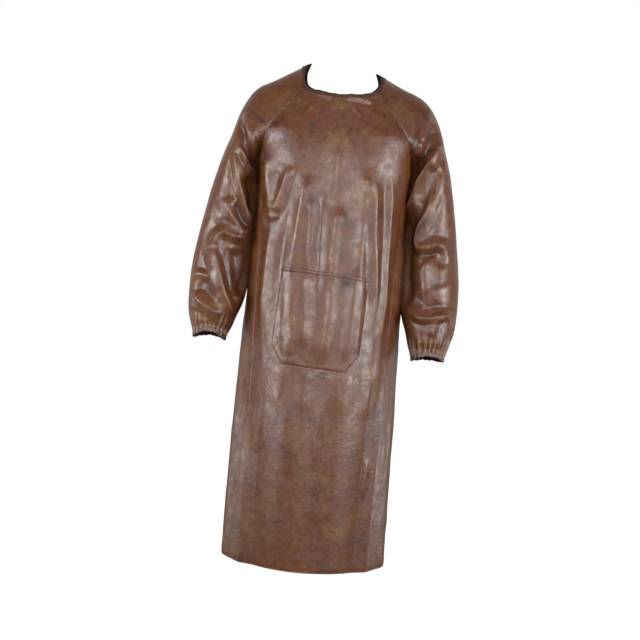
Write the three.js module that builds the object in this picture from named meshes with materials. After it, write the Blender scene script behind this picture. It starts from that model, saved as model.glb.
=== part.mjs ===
// Waterproof work apron with long raglan sleeves, in coated leather cloth, in the shape it has when worn.
// Millimetres, +Z up. The front faces -Y and the wearer's left is +X.
// The origin lies midway between the high shoulder points, where the apron sits on the wearer.
import * as THREE from "three";
import { mergeVertices } from "three/addons/utils/BufferGeometryUtils.js";

// Driving dimensions
const WALL = 1.5; // coated cloth
const SEAM_GAP = 0.7; // from a panel's edge to the line of its seam
const BINDING_HEIGHT = 10; // band round the neckline
const BINDING_WALL = 2.6; // the band is the cloth folded double
const BINDING_PROUD = 0.5; // how far the band stands out of the panels
const CUFF_HEIGHT = 12; // elastic casing at the wrist
const CUFF_WALL = 2.4; // cloth folded round the elastic
const CUFF_GAP = 0.8;
const POCKET = { width: 203, height: 220, chamferWide: 30, chamferHigh: 43 };
const POCKET_PLACE = { x: -0.5, topZ: -479, tiltDeg: -3 };
const POCKET_GAP = 0.8;

// Mesh density
const SLEEVE_COLUMNS = 24;
const FRONT_COLUMNS = 26;
const BACK_COLUMNS = 20;
const RAGLAN_STEPS = 2; // rows between two sections, neck to armpit
const SLEEVE_STEPS = 2; // armpit to cuff
const FRONT_STEPS = 3; // armpit to hem
const BACK_STEPS = 2;
const POCKET_GRID = { columns: 10, rows: 9, cornerRows: 3 };
const NECK_RING = { frontSteps: 20, shoulderSteps: 10, backSteps: 14 };

// Gathers that the elastic pulls up above each cuff
const GATHERS = { count: SLEEVE_COLUMNS / 2, height: 3.2, startZ: -596, endZ: -648, onCuff: 1.1 };

// Sections of a sleeve, given for the wearer's left. Each is an arc from the front edge over the crown to
// the back edge: crown is its outermost point, chord the middle between its two ends, side the half depth
// towards the front, and arc the half angle that it covers. From the armpit down it closes into a tube.
// out is how much farther out the crown stands on the left arm and on the right.
const SLEEVE_ROWS = [
  { at: "neck", crown: [102, 13, -2], chord: [92, 3, -59], side: [1, -73, 1], arc: 66, out: [0, 0] },
  { at: "slope", crown: [150, 9, -30], chord: [106, 6, -87], side: [3, -80, -4], arc: 66, out: [0, 1] },
  { at: "shoulder", crown: [197, 7, -56], chord: [130, 6, -114], side: [3, -79, -5], arc: 72, out: [2, 0] },
  { at: "arm top", crown: [229, 5, -102], chord: [155, 5, -151], side: [2, -79, -3], arc: 86, out: [3, -3] },
  { at: "deltoid", crown: [252, 4, -172], chord: [172, 5, -190], side: [0, -77, 0], arc: 125, out: [3, -4] },
  { at: "armpit", crown: [267, 4, -222], chord: [179, 4, -226], side: [0, -74, 0], out: [3, -3] },
  { at: "upper arm", crown: [284, 2, -298], chord: [181, 2, -302], side: [0, -70, 0], out: [2, -1] },
  { at: "elbow", crown: [302, -3, -405], chord: [183.5, -3, -411], side: [0, -66, 2], out: [1, 1] },
  { at: "forearm", crown: [311, -12, -480], chord: [185.5, -12, -488], side: [0, -64, 5], out: [0, 2] },
  { at: "low forearm", crown: [312, -24, -548], chord: [189, -24, -556], side: [0, -60, 7], out: [0, 2] },
  { at: "wrist", crown: [309, -34, -597], chord: [201, -34, -603], side: [0, -53, 7], out: [0, 1] },
  { at: "above cuff", crown: [302, -40, -623], chord: [210, -40, -627], side: [0, -46, 6], out: [0, 0] },
  { at: "gathers", crown: [296, -44, -640], chord: [217, -44, -642], side: [0, -39, 5], out: [0, 0] },
  { at: "cuff seam", crown: [294, -46, -647], chord: [219, -46, -649], side: [0, -37, 5], out: [0, 0] },
];
const CLOSED_ARC = 180;
const ARMPIT = 5;
const ELBOW = 7;
const LAST_SLEEVE_ROW = SLEEVE_ROWS.length - 1;

// How the two arms are held: x outwards, y back and z up at the wrist, from the elbow on.
// cuffArch is how far the elastic rides up the front and back of the wrist, from the forearm on.
const LEFT_ARM = { outPlace: 0, wristShift: [-7, 0, -2], cuffArch: 7, mirrored: false };
const RIGHT_ARM = { outPlace: 1, wristShift: [0, 0, 9], cuffArch: 12, mirrored: true };
const ARCH_START = 9; // section from which the arch comes in

// Centre lines of the front and back panels, with each section's half angle. The rows run from the neck to
// the armpit beside the sleeve's own, and below the armpit their edges are the side seams of SIDE_SEAM.
const BODY_ROWS = [
  { at: "neck", front: [0, -95, -82], frontSpread: 74, back: [0, 88, -66], backSpread: 60 },
  { at: "collar bone", front: [0, -106, -112], frontSpread: 62, back: [0, 99, -92], backSpread: 56 },
  { at: "upper chest", front: [0, -115, -142], frontSpread: 52, back: [0, 107, -118], backSpread: 52 },
  { at: "chest", front: [0, -122, -172], frontSpread: 50, back: [0, 112, -148], backSpread: 52 },
  { at: "low chest", front: [0, -127, -204], frontSpread: 60, back: [0, 115, -185], backSpread: 66 },
  { at: "armpit", front: [0, -130, -240], frontSpread: 92, back: [0, 117, -228], backSpread: 90 },
  { at: "ribs", front: [0, -132, -306], frontSpread: 78, back: [0, 115, -302], backSpread: 105 },
  { at: "waist", front: [0, -132, -420], frontSpread: 66, back: [0, 108, -420], backSpread: 117.5 },
  { at: "pocket", front: [0, -138, -560], frontSpread: 58, back: [0, 114, -560], backSpread: 122 },
  { at: "thigh", front: [0, -146, -720], frontSpread: 52, back: [0, 124, -720], backSpread: 125.7 },
  { at: "knee", front: [0, -152, -920], frontSpread: 46, back: [0, 132, -920], backSpread: 129.8 },
  { at: "hem", front: [0, -156, -1150], frontSpread: 40, back: [0, 140, -1150], backSpread: 133 },
];
const HEM = BODY_ROWS.length - 1;

// Side seam on the wearer's left, from the armpit to the hem, one point for each body row
const SIDE_SEAM = [
  { at: "armpit", point: [179, 4, -226] },
  { at: "ribs", point: [172, -36, -302] },
  { at: "waist", point: [160, -58, -420] },
  { at: "pocket", point: [155, -66, -560] },
  { at: "thigh", point: [151, -72, -720] },
  { at: "knee", point: [146, -75, -920] },
  { at: "hem", point: [141, -78, -1150] },
];

// Folds, as seen from the front. Each runs on a curve of [x, z] points from one end by way of a middle point
// to the other; width is the distance at which it has faded, and a negative height is a valley.
const FRONT_FOLDS = [
  { from: [-157, -215], via: [-150, -290], to: [-134, -362], width: 15, height: 5 },
  { from: [-100, -240], via: [-115, -313], to: [-132, -368], width: 15, height: 5 },
  { from: [-128, -250], via: [-130, -300], to: [-133, -345], width: 12, height: -4 },
  { from: [-130, -375], via: [-135, -465], to: [-140, -590], width: 16, height: 5 },
  { from: [-56, -255], via: [-74, -357], to: [-80, -470], width: 17, height: 6 },
  { from: [-50, -300], via: [-44, -389], to: [-41, -470], width: 15, height: 5 },
  { from: [20, -330], via: [6, -405], to: [12, -468], width: 17, height: 6 },
  { from: [86, -225], via: [74, -357], to: [69, -468], width: 18, height: 7 },
  { from: [94, -255], via: [100, -389], to: [128, -590], width: 14, height: 6 },
  { from: [130, -240], via: [140, -365], to: [138, -620], width: 13, height: 6 },
  { from: [140, -700], via: [132, -900], to: [126, -1180], width: 28, height: 16 },
  { from: [-60, -730], via: [-66, -900], to: [-72, -1180], width: 40, height: 5 },
];
const BACK_FOLDS = [
  { from: [-110, -230], via: [-118, -600], to: [-124, -1180], width: 34, height: 9 },
  { from: [-40, -320], via: [-46, -700], to: [-50, -1180], width: 36, height: -7 },
  { from: [36, -280], via: [44, -650], to: [48, -1180], width: 36, height: 8 },
  { from: [112, -240], via: [118, -640], to: [122, -1180], width: 32, height: -7 },
];
const RIGHT_SLEEVE_FOLDS = [
  { from: [-211, -105], via: [-203, -187], to: [-184, -245], width: 13, height: 7 },
  { from: [-226, -118], via: [-218, -190], to: [-196, -250], width: 12, height: -11 },
  { from: [-226, -205], via: [-218, -305], to: [-184, -404], width: 15, height: 9 },
  { from: [-246, -285], via: [-238, -362], to: [-186, -408], width: 15, height: 7 },
  { from: [-226, -330], via: [-214, -372], to: [-190, -396], width: 11, height: -8 },
  { from: [-256, -409], via: [-222, -390], to: [-186, -414], width: 12, height: 8 },
  { from: [-255, -405], via: [-262, -462], to: [-236, -535], width: 13, height: 8 },
  { from: [-236, -470], via: [-240, -525], to: [-206, -600], width: 14, height: 8 },
  { from: [-304, -505], via: [-279, -500], to: [-246, -522], width: 12, height: 7 },
  { from: [-299, -524], via: [-266, -552], to: [-215, -597], width: 16, height: 7 },
];
const LEFT_SLEEVE_FOLDS = [
  { from: [206, -108], via: [200, -146], to: [188, -172], width: 12, height: 7 },
  { from: [216, -100], via: [211, -165], to: [186, -222], width: 13, height: -11 },
  { from: [248, -168], via: [208, -195], to: [183, -316], width: 14, height: 9 },
  { from: [234, -265], via: [215, -351], to: [199, -392], width: 13, height: 9 },
  { from: [198, -388], via: [205, -420], to: [250, -396], width: 12, height: 8 },
  { from: [246, -396], via: [284, -388], to: [290, -438], width: 12, height: 8 },
  { from: [234, -446], via: [206, -478], to: [196, -522], width: 15, height: 6 },
  { from: [287, -450], via: [267, -495], to: [222, -528], width: 26, height: 7 },
  { from: [207, -565], via: [230, -556], to: [258, -573], width: 13, height: 7 },
  { from: [248, -612], via: [257, -552], to: [291, -577], width: 13, height: 7 },
];
const FOLD_SAMPLES = 12; // straight steps along a fold's curve
const FOLD_END = 0.02; // share of the curve past which the taper stops falling
const EDGE_FADE = 0.1; // share of a panel's half width over which folds die out at its edges
const SIDE_FADE = [0.05, 0.5]; // sine of the turn from the sleeve's side over which its folds come up
const BACK_OF_SLEEVE_SHARE = 0.55; // folds carry on round the back of the sleeve, but shallower

const LEATHER = { color: 0x6b4a39, roughness: 0.42, metalness: 0 };
const LEATHER_TRIM = { color: 0x5f4032, roughness: 0.48, metalness: 0 };

// Small helpers
const vector = (values) => new THREE.Vector3(...values);
const radians = THREE.MathUtils.degToRad;
const smooth = (x, low, high) => THREE.MathUtils.smoothstep(x, low, high);
const mirrorX = (point) => new THREE.Vector3(-point.x, point.y, point.z);

function splineOf(points) {
  const curve = new THREE.CatmullRomCurve3(points.map(vector), false, "centripetal");
  return (row) => curve.getPoint(THREE.MathUtils.clamp(row / (points.length - 1), 0, 1));
}

function columnOf(rows, name) {
  return splineOf(rows.map((row) => row[name]));
}

function numberOf(rows, name) {
  const curve = splineOf(rows.map((row, k) => [row[name], k, 0]));
  return (row) => curve(row).x;
}

// A point on a section's arc, with share running from -1 at its back end to 1 at its front end
function arcPoint({ crown, chord, side, spread }, share) {
  const angle = share * spread;
  const fall = (1 - Math.cos(angle)) / (1 - Math.cos(spread));
  return crown.clone().lerp(chord, fall).addScaledVector(side, Math.sin(angle));
}

// Height of all the folds at one place on the front view
function foldHeight(folds, x, z) {
  let height = 0;
  for (const { from, via, to, width, height: crest } of folds) {
    let nearest = Infinity;
    let along = 0;
    for (let i = 0; i <= FOLD_SAMPLES; i += 1) {
      const s = i / FOLD_SAMPLES;
      const [a, b, c] = [(1 - s) ** 2, 2 * s * (1 - s), s * s];
      const distance = Math.hypot(
        a * from[0] + b * via[0] + c * to[0] - x,
        a * from[1] + b * via[1] + c * to[1] - z,
      );
      if (distance < nearest) {
        nearest = distance;
        along = s;
      }
    }
    const taper = Math.sqrt(Math.sin(Math.PI * THREE.MathUtils.clamp(along, FOLD_END, 1 - FOLD_END)));
    height += crest * taper * Math.exp(-((nearest / width) ** 2));
  }
  return height;
}

// Normals of a grid of points, pointing away from the side where their arcs are centred
function gridNormals(grid, isClosed, outwardAt) {
  const lastRow = grid.length - 1;
  const lastColumn = grid[0].length - 1;
  const normals = grid.map((row, j) =>
    row.map((_, i) => {
      const wraps = isClosed(j) && (i === 0 || i === lastColumn);
      const before = wraps ? row[lastColumn - 1] : row[Math.max(i - 1, 0)];
      const after = wraps ? row[1] : row[Math.min(i + 1, lastColumn)];
      const mate = wraps ? lastColumn - i : i;
      const rowAbove = grid[Math.max(j - 1, 0)];
      const rowBelow = grid[Math.min(j + 1, lastRow)];
      const above = rowAbove[i].clone().lerp(rowAbove[mate], 0.5);
      const below = rowBelow[i].clone().lerp(rowBelow[mate], 0.5);
      const across = after.clone().sub(before);
      return across.cross(below.sub(above)).normalize();
    }),
  );
  const middle = [Math.floor(grid.length / 2), Math.floor(grid[0].length / 2)];
  const sign = Math.sign(normals[middle[0]][middle[1]].dot(outwardAt));
  normals.forEach((row) => row.forEach((normal) => normal.multiplyScalar(sign)));
  return normals;
}

// Closed wall between two grids of points, with edges wherever a row isn't closed on itself
function wallGeometry(outer, inner, isClosed) {
  const positions = [];
  const quad = (a, b, c, d) => {
    for (const p of [a, b, c, a, c, d]) positions.push(p.x, p.y, p.z);
  };
  const lastRow = outer.length - 1;
  const lastColumn = outer[0].length - 1;
  for (let j = 0; j < lastRow; j += 1) {
    for (let i = 0; i < lastColumn; i += 1) {
      quad(outer[j][i], outer[j + 1][i], outer[j + 1][i + 1], outer[j][i + 1]);
      quad(inner[j][i], inner[j][i + 1], inner[j + 1][i + 1], inner[j + 1][i]);
    }
    if (isClosed(j) && isClosed(j + 1)) continue;
    quad(outer[j][0], inner[j][0], inner[j + 1][0], outer[j + 1][0]);
    quad(inner[j][lastColumn], outer[j][lastColumn], outer[j + 1][lastColumn], inner[j + 1][lastColumn]);
  }
  for (let i = 0; i < lastColumn; i += 1) {
    quad(inner[0][i], outer[0][i], outer[0][i + 1], inner[0][i + 1]);
    quad(outer[lastRow][i], inner[lastRow][i], inner[lastRow][i + 1], outer[lastRow][i + 1]);
  }
  const geometry = new THREE.BufferGeometry();
  geometry.setAttribute("position", new THREE.Float32BufferAttribute(positions, 3));
  const merged = mergeVertices(geometry, 1e-4);
  return facingOut(merged);
}

// A closed mesh whose volume comes out negative has its faces turned round
function facingOut(geometry) {
  const position = geometry.getAttribute("position");
  const index = geometry.getIndex().array;
  const [a, b, c] = [new THREE.Vector3(), new THREE.Vector3(), new THREE.Vector3()];
  let volume = 0;
  for (let k = 0; k < index.length; k += 3) {
    a.fromBufferAttribute(position, index[k]);
    b.fromBufferAttribute(position, index[k + 1]);
    c.fromBufferAttribute(position, index[k + 2]);
    volume += a.dot(b.cross(c));
  }
  if (volume < 0) {
    for (let k = 0; k < index.length; k += 3) {
      [index[k + 1], index[k + 2]] = [index[k + 2], index[k + 1]];
    }
  }
  geometry.computeVertexNormals();
  return geometry;
}

// A cloth panel: the surface is lifted by its folds and then given its wall, which lies inside it
function panelGrids(surface, heightAt, isClosed, outwardAt, wall) {
  const lift = gridNormals(surface, isClosed, outwardAt);
  const outer = surface.map((row, j) =>
    row.map((point, i) => point.clone().addScaledVector(lift[j][i], heightAt(point, i, j))),
  );
  const normals = gridNormals(outer, isClosed, outwardAt);
  const inner = outer.map((row, j) =>
    row.map((point, i) => point.clone().addScaledVector(normals[j][i], -wall)),
  );
  return { outer, inner, normals };
}

// Row numbers from one section to another, with so many steps between two sections
function rowNumbers(first, last, steps) {
  const count = (last - first) * steps;
  return Array.from({ length: count + 1 }, (_, k) => first + k / steps);
}

function shares(columns, margin) {
  return Array.from({ length: columns + 1 }, (_, k) => (1 - margin) * ((2 * k) / columns - 1));
}

// Sections of the sleeve and of the body
const sleeveCrown = columnOf(SLEEVE_ROWS, "crown");
const sleeveChord = columnOf(SLEEVE_ROWS, "chord");
const sleeveSide = columnOf(SLEEVE_ROWS, "side");
const sleeveOut = splineOf(SLEEVE_ROWS.map(({ out }, k) => [...out, k]));

function sleeveSpread(row) {
  if (row >= ARMPIT) return Math.PI;
  const [low, high] = [Math.floor(row), Math.floor(row) + 1];
  const [from, to] = [SLEEVE_ROWS[low].arc, SLEEVE_ROWS[high].arc ?? CLOSED_ARC];
  return radians(THREE.MathUtils.lerp(from, to, row - low));
}

function sleeveSection(row) {
  return {
    crown: sleeveCrown(row),
    chord: sleeveChord(row),
    side: sleeveSide(row),
    spread: sleeveSpread(row),
  };
}

// The same section on an arm as it is held
function armSection(row, arm) {
  const section = sleeveSection(row);
  const bend = smooth(row, ELBOW, LAST_SLEEVE_ROW);
  const shift = vector(arm.wristShift).multiplyScalar(bend);
  section.crown.add(shift);
  section.crown.x += sleeveOut(row).getComponent(arm.outPlace);
  section.chord.add(shift);
  return section;
}

const sideSeam = columnOf(SIDE_SEAM, "point");
const raglanSeam = (row, end) => arcPoint(sleeveSection(row), end);

const frontCrown = columnOf(BODY_ROWS, "front");
const frontSpread = numberOf(BODY_ROWS, "frontSpread");
const backCrown = columnOf(BODY_ROWS, "back");
const backSpread = numberOf(BODY_ROWS, "backSpread");

function bodySection(row, crown, spreadDeg, raglanEnd) {
  const spread = radians(spreadDeg);
  const edge = row < ARMPIT ? raglanSeam(row, raglanEnd) : sideSeam(row - ARMPIT);
  const side = new THREE.Vector3(edge.x / Math.sin(spread), 0, 0);
  return { crown, chord: new THREE.Vector3(0, edge.y, edge.z), side, spread };
}

const frontSection = (row) => bodySection(row, frontCrown(row), frontSpread(row), 1);
const backSection = (row) => bodySection(row, backCrown(row), backSpread(row), -1);

// Share of a section's half arc that the seam gap takes up, on an arc a little flatter than a circle's
function gapShare(section) {
  const flattening = 0.8;
  const halfLength = section.side.length() * section.spread * flattening;
  return SEAM_GAP / halfLength;
}

const neverClosed = () => false;
const edgeFade = (share) => smooth(1 - Math.abs(share), 0, EDGE_FADE);

function bodyPanel(sectionAt, columns, steps, folds, outwardAt) {
  const rows = [
    ...rowNumbers(0, ARMPIT, RAGLAN_STEPS),
    ...rowNumbers(ARMPIT, HEM, steps).slice(1),
  ];
  const surface = rows.map((row) => {
    const section = sectionAt(row);
    return shares(columns, gapShare(section)).map((share) => arcPoint(section, share));
  });
  const across = shares(columns, 0);
  const heightAt = (point, i) => edgeFade(across[i]) * foldHeight(folds, point.x, point.z);
  const { outer, inner } = panelGrids(surface, heightAt, neverClosed, outwardAt, WALL);
  return wallGeometry(outer, inner, neverClosed);
}

// A point of an arm's section, raised towards the cuff where the elastic rides up
function armPoint(section, share, row, arm) {
  const point = arcPoint(section, share);
  const turn = Math.sin(share * section.spread);
  point.z += arm.cuffArch * turn * turn * smooth(row, ARCH_START, LAST_SLEEVE_ROW);
  return arm.mirrored ? mirrorX(point) : point;
}

// Sleeve: a strip over the shoulder down to the armpit, then a tube to the cuff
function sleeveGather(column, z) {
  const wave = Math.cos((2 * Math.PI * GATHERS.count * column) / SLEEVE_COLUMNS);
  return GATHERS.height * wave * smooth(-z, -GATHERS.startZ, -GATHERS.endZ);
}

function sleevePanel(folds, arm) {
  const rows = [
    ...rowNumbers(0, ARMPIT, RAGLAN_STEPS),
    ...rowNumbers(ARMPIT, LAST_SLEEVE_ROW, SLEEVE_STEPS).slice(1),
  ];
  const isClosed = (j) => rows[j] >= ARMPIT;
  const surface = rows.map((row, j) => {
    const section = armSection(row, arm);
    const margin = isClosed(j) ? 0 : gapShare(section) * Math.min(1, 2 * (ARMPIT - row));
    return shares(SLEEVE_COLUMNS, margin).map((share) => armPoint(section, share, row, arm));
  });
  const across = shares(SLEEVE_COLUMNS, 0);
  const heightAt = (point, i, j) => {
    const turn = Math.sin(across[i] * sleeveSpread(rows[j]));
    const facing = smooth(Math.abs(turn), ...SIDE_FADE) * (turn > 0 ? 1 : BACK_OF_SLEEVE_SHARE);
    const fade = isClosed(j) ? 1 : edgeFade(across[i]);
    const cuffFade = 1 - smooth(-point.z, -GATHERS.startZ, -GATHERS.endZ);
    return facing * fade * cuffFade * foldHeight(folds, point.x, point.z) + sleeveGather(i, point.z);
  };
  const outward = new THREE.Vector3(arm.mirrored ? -1 : 1, 0, 0);
  const { outer, inner } = panelGrids(surface, heightAt, isClosed, outward, WALL);
  return wallGeometry(outer, inner, isClosed);
}

// Cuff: the elastic casing below the sleeve's last section, still puckered by the gathers
function cuffBand(arm) {
  const section = armSection(LAST_SLEEVE_ROW, arm);
  const downwards = section.side.clone().cross(new THREE.Vector3(-1, 0, 0)).normalize();
  const always = () => true;
  const drops = [CUFF_GAP, CUFF_GAP + CUFF_HEIGHT];
  const surface = drops.map((drop) =>
    shares(SLEEVE_COLUMNS, 0).map((share) => {
      const point = armPoint(section, share, LAST_SLEEVE_ROW, arm);
      return point.addScaledVector(downwards, drop);
    }),
  );
  const pucker = (_, i) => GATHERS.onCuff * Math.cos((2 * Math.PI * GATHERS.count * i) / SLEEVE_COLUMNS);
  const outward = new THREE.Vector3(arm.mirrored ? -1 : 1, 0, 0);
  const { outer, inner } = panelGrids(surface, pucker, always, outward, CUFF_WALL);
  return wallGeometry(outer, inner, always);
}

// Neck binding: a band that carries the panels' top edges on upwards, all the way round
function neckBinding() {
  const arcs = [
    { section: frontSection, from: -1, to: 1, mirror: false, steps: NECK_RING.frontSteps },
    { section: sleeveSection, from: 1, to: -1, mirror: false, steps: NECK_RING.shoulderSteps },
    { section: backSection, from: 1, to: -1, mirror: false, steps: NECK_RING.backSteps },
    { section: sleeveSection, from: -1, to: 1, mirror: true, steps: NECK_RING.shoulderSteps },
  ];
  const nearNeck = 0.25; // row from which the upward direction is read
  const ring = arcs.flatMap(({ section, from, to, mirror, steps }) =>
    Array.from({ length: steps }, (_, k) => {
      const share = THREE.MathUtils.lerp(from, to, (k + 0.5) / steps);
      const edge = arcPoint(section(0), share);
      const up = edge.clone().sub(arcPoint(section(nearNeck), share)).normalize();
      return mirror ? { edge: mirrorX(edge), up: mirrorX(up) } : { edge, up };
    }),
  );
  const count = ring.length;
  const smoothed = ring.map(({ edge, up }, k) => ({
    edge,
    up: [1, 2, 3].reduce(
      (sum, step) => sum.add(ring[(k + step) % count].up).add(ring[(k - step + count) % count].up),
      up.clone(),
    ).normalize(),
  }));
  const outer = [];
  const inner = [];
  [SEAM_GAP, SEAM_GAP + BINDING_HEIGHT].forEach((rise) => {
    const outerRow = [];
    const innerRow = [];
    for (let k = 0; k <= count; k += 1) {
      const here = smoothed[k % count];
      const along = smoothed[(k + 1) % count].edge.clone().sub(smoothed[(k - 1 + count) % count].edge);
      const outwards = here.up.clone().cross(along).normalize().negate();
      const middle = here.edge.clone().addScaledVector(here.up, rise);
      outerRow.push(middle.clone().addScaledVector(outwards, BINDING_PROUD));
      innerRow.push(middle.addScaledVector(outwards, BINDING_PROUD - BINDING_WALL));
    }
    outer.push(outerRow);
    inner.push(innerRow);
  });
  return wallGeometry(outer, inner, () => true);
}

// Place on the front panel that lies behind a point of the front view, below the armpits
function frontAt(x, z) {
  const halvings = 40;
  let [low, high] = [ARMPIT, HEM];
  for (let k = 0; k < halvings; k += 1) {
    const middle = (low + high) / 2;
    if (frontCrown(middle).z > z) low = middle;
    else high = middle;
  }
  const section = frontSection(low);
  const share = Math.asin(x / section.side.x) / section.spread;
  const point = arcPoint(section, share);
  point.y -= foldHeight(FRONT_FOLDS, point.x, point.z) * edgeFade(share);
  return point;
}

// Patch pocket: a cloth patch that lies on the front panel, with its two lower corners cut off
function pocketPatch() {
  const { columns, rows, cornerRows } = POCKET_GRID;
  const tilt = radians(POCKET_PLACE.tiltDeg);
  const chamferStart = POCKET.height - POCKET.chamferHigh;
  const straightRows = rows - cornerRows;
  const surface = Array.from({ length: rows + 1 }, (_, j) => {
    const drop = j <= straightRows
      ? (chamferStart * j) / straightRows
      : chamferStart + (POCKET.chamferHigh * (j - straightRows)) / cornerRows;
    const cut = Math.max(0, (drop - chamferStart) / POCKET.chamferHigh) * POCKET.chamferWide;
    return Array.from({ length: columns + 1 }, (_, i) => {
      const across = (POCKET.width / 2 - cut) * ((2 * i) / columns - 1);
      const x = POCKET_PLACE.x + across * Math.cos(tilt) + drop * Math.sin(tilt);
      const z = POCKET_PLACE.topZ + across * Math.sin(tilt) - drop * Math.cos(tilt);
      return frontAt(x, z);
    });
  });
  const forwards = new THREE.Vector3(0, -1, 0);
  const standOff = () => POCKET_GAP + WALL;
  const { outer, inner } = panelGrids(surface, standOff, neverClosed, forwards, WALL);
  return wallGeometry(outer, inner, neverClosed);
}

// Assembly
const apron = new THREE.Group();
apron.name = "work_apron";

function addPiece(name, geometry, finish) {
  const piece = new THREE.Mesh(geometry, new THREE.MeshStandardMaterial(finish));
  piece.name = name;
  apron.add(piece);
}

addPiece(
  "front_panel",
  bodyPanel(frontSection, FRONT_COLUMNS, FRONT_STEPS, FRONT_FOLDS, new THREE.Vector3(0, -1, 0)),
  LEATHER,
);
addPiece(
  "back_panel",
  bodyPanel(backSection, BACK_COLUMNS, BACK_STEPS, BACK_FOLDS, new THREE.Vector3(0, 1, 0)),
  LEATHER,
);
addPiece("left_sleeve", sleevePanel(LEFT_SLEEVE_FOLDS, LEFT_ARM), LEATHER);
addPiece("right_sleeve", sleevePanel(RIGHT_SLEEVE_FOLDS, RIGHT_ARM), LEATHER);
addPiece("left_cuff", cuffBand(LEFT_ARM), LEATHER_TRIM);
addPiece("right_cuff", cuffBand(RIGHT_ARM), LEATHER_TRIM);
addPiece("neck_binding", neckBinding(), LEATHER_TRIM);
addPiece("pocket", pocketPatch(), LEATHER);

export default apron;
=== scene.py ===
# %% [markdown]
# # A waterproof work apron with long sleeves
# The apron is sewn from coated leather cloth: a front and a back panel, two raglan sleeves that run up to
# the neck, elastic cuffs, a bound neckline and one patch pocket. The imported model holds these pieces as
# plain thin walls. This lesson lays a finely folded sheet of leather over each of them, sews them together
# and dyes them.

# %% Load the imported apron
import math

import bpy
import numpy as np
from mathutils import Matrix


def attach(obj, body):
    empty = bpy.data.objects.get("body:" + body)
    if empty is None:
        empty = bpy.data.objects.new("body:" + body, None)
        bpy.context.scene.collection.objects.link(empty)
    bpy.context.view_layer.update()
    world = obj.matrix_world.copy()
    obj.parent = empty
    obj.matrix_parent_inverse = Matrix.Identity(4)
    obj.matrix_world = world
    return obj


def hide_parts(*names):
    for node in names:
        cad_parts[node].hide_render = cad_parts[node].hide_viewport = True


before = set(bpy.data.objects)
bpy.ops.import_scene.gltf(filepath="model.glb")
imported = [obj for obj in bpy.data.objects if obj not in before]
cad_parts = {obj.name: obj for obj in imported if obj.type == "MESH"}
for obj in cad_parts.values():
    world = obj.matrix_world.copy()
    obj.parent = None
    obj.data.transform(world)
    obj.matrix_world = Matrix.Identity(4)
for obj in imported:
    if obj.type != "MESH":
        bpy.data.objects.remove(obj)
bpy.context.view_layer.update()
bpy.ops.object.select_all(action="DESELECT")
MM = 0.001
print("nodes:", sorted(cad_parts))

# %% [markdown]
# ## Camera
# The picture was taken from straight in front at the height of the hips, with the camera turned a little so
# that the apron leans. The lens follows from the width that the picture covers at the apron's distance.

# %% Camera
CAMERA_DISTANCE = 2.700
CAMERA_PLACE = (-0.0047, -CAMERA_DISTANCE, -0.587)
CAMERA_ROLL = math.radians(4.8)
FIELD_WIDTH = 1.504
SENSOR_WIDTH = 36.0

bpy.ops.object.camera_add(location=CAMERA_PLACE, rotation=(math.pi / 2, -CAMERA_ROLL, 0))
camera = bpy.context.object
camera.name = "photo_camera"
camera.data.sensor_width = SENSOR_WIDTH
camera.data.lens = SENSOR_WIDTH * CAMERA_DISTANCE / FIELD_WIDTH
camera.data.dof.use_dof = False
bpy.context.scene.camera = camera
print(f"lens {camera.data.lens:.1f} mm")

# %% [markdown]
# ## Floor and light
# Glossy leather shows its lights more than its colour. The streaks down the apron are two tall soft boxes
# at its sides and a wide one behind the camera, seen in the folds. They hang high, so the skirt stays dark.
# Two small boxes stand low behind the apron and light the sides of the skirt. The room is dim in front and
# pale behind, which keeps the shoulders dark and draws thin light rims along the sleeves.

# %% Floor and light
FLOOR_LEVEL = -1.45
FLOOR_SIZE = 60.0
FLOOR_ROUGHNESS = 0.9
FLOOR_GLOW = 1.0  # lifts the floor to the white of the backdrop, for the camera alone
LIGHT_AIM = (0.0, 0.0, -0.55)
ROOM_TURN = (-0.20, 0.75)  # directions along Y between which the dim room gives way to the backdrop
ROOM_LIGHT = (0.05, 0.7)


def linear(hex_colour):
    """An sRGB hex colour as the linear colour that Blender's sockets take."""
    parts = [int(hex_colour[k:k + 2], 16) / 255 for k in (1, 3, 5)]
    return [c / 12.92 if c <= 0.04045 else ((c + 0.055) / 1.055) ** 2.4 for c in parts] + [1.0]


def add_node(material, kind, settings=(), sockets=(), links=()):
    """Adds one node: settings are its own fields, sockets fixed inputs, links inputs fed by other nodes."""
    node = material.node_tree.nodes.new(kind)
    for field, value in dict(settings).items():
        setattr(node, field, value)
    for socket, value in dict(sockets).items():
        node.inputs[socket].default_value = value
    for socket, source in dict(links).items():
        material.node_tree.links.new(source, node.inputs[socket])
    return node


def new_material(name):
    """A new material, and its shader."""
    material = bpy.data.materials.new(name)
    material.use_nodes = True
    return material, material.node_tree.nodes["Principled BSDF"]


def ranged(material, value, source, target, **settings):
    """A value mapped from one range to another."""
    ends = zip(("From Min", "From Max", "To Min", "To Max"), (*source, *target))
    return add_node(material, "ShaderNodeMapRange", settings, ends, {"Value": value}).outputs["Result"]


def soft_box(name, place, size, power):
    """Adds a soft box that faces the apron, with its place and size in metres and its power in watts."""
    bpy.ops.object.light_add(type="AREA", location=place)
    box = bpy.context.object
    box.name = name
    box.data.shape = "RECTANGLE"
    box.data.size, box.data.size_y = size
    box.data.energy = power
    towards = np.array(LIGHT_AIM) - np.array(place)
    box.rotation_euler = (
        math.acos(-towards[2] / np.linalg.norm(towards)),
        0,
        math.atan2(towards[1], towards[0]) - math.pi / 2,
    )


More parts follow.
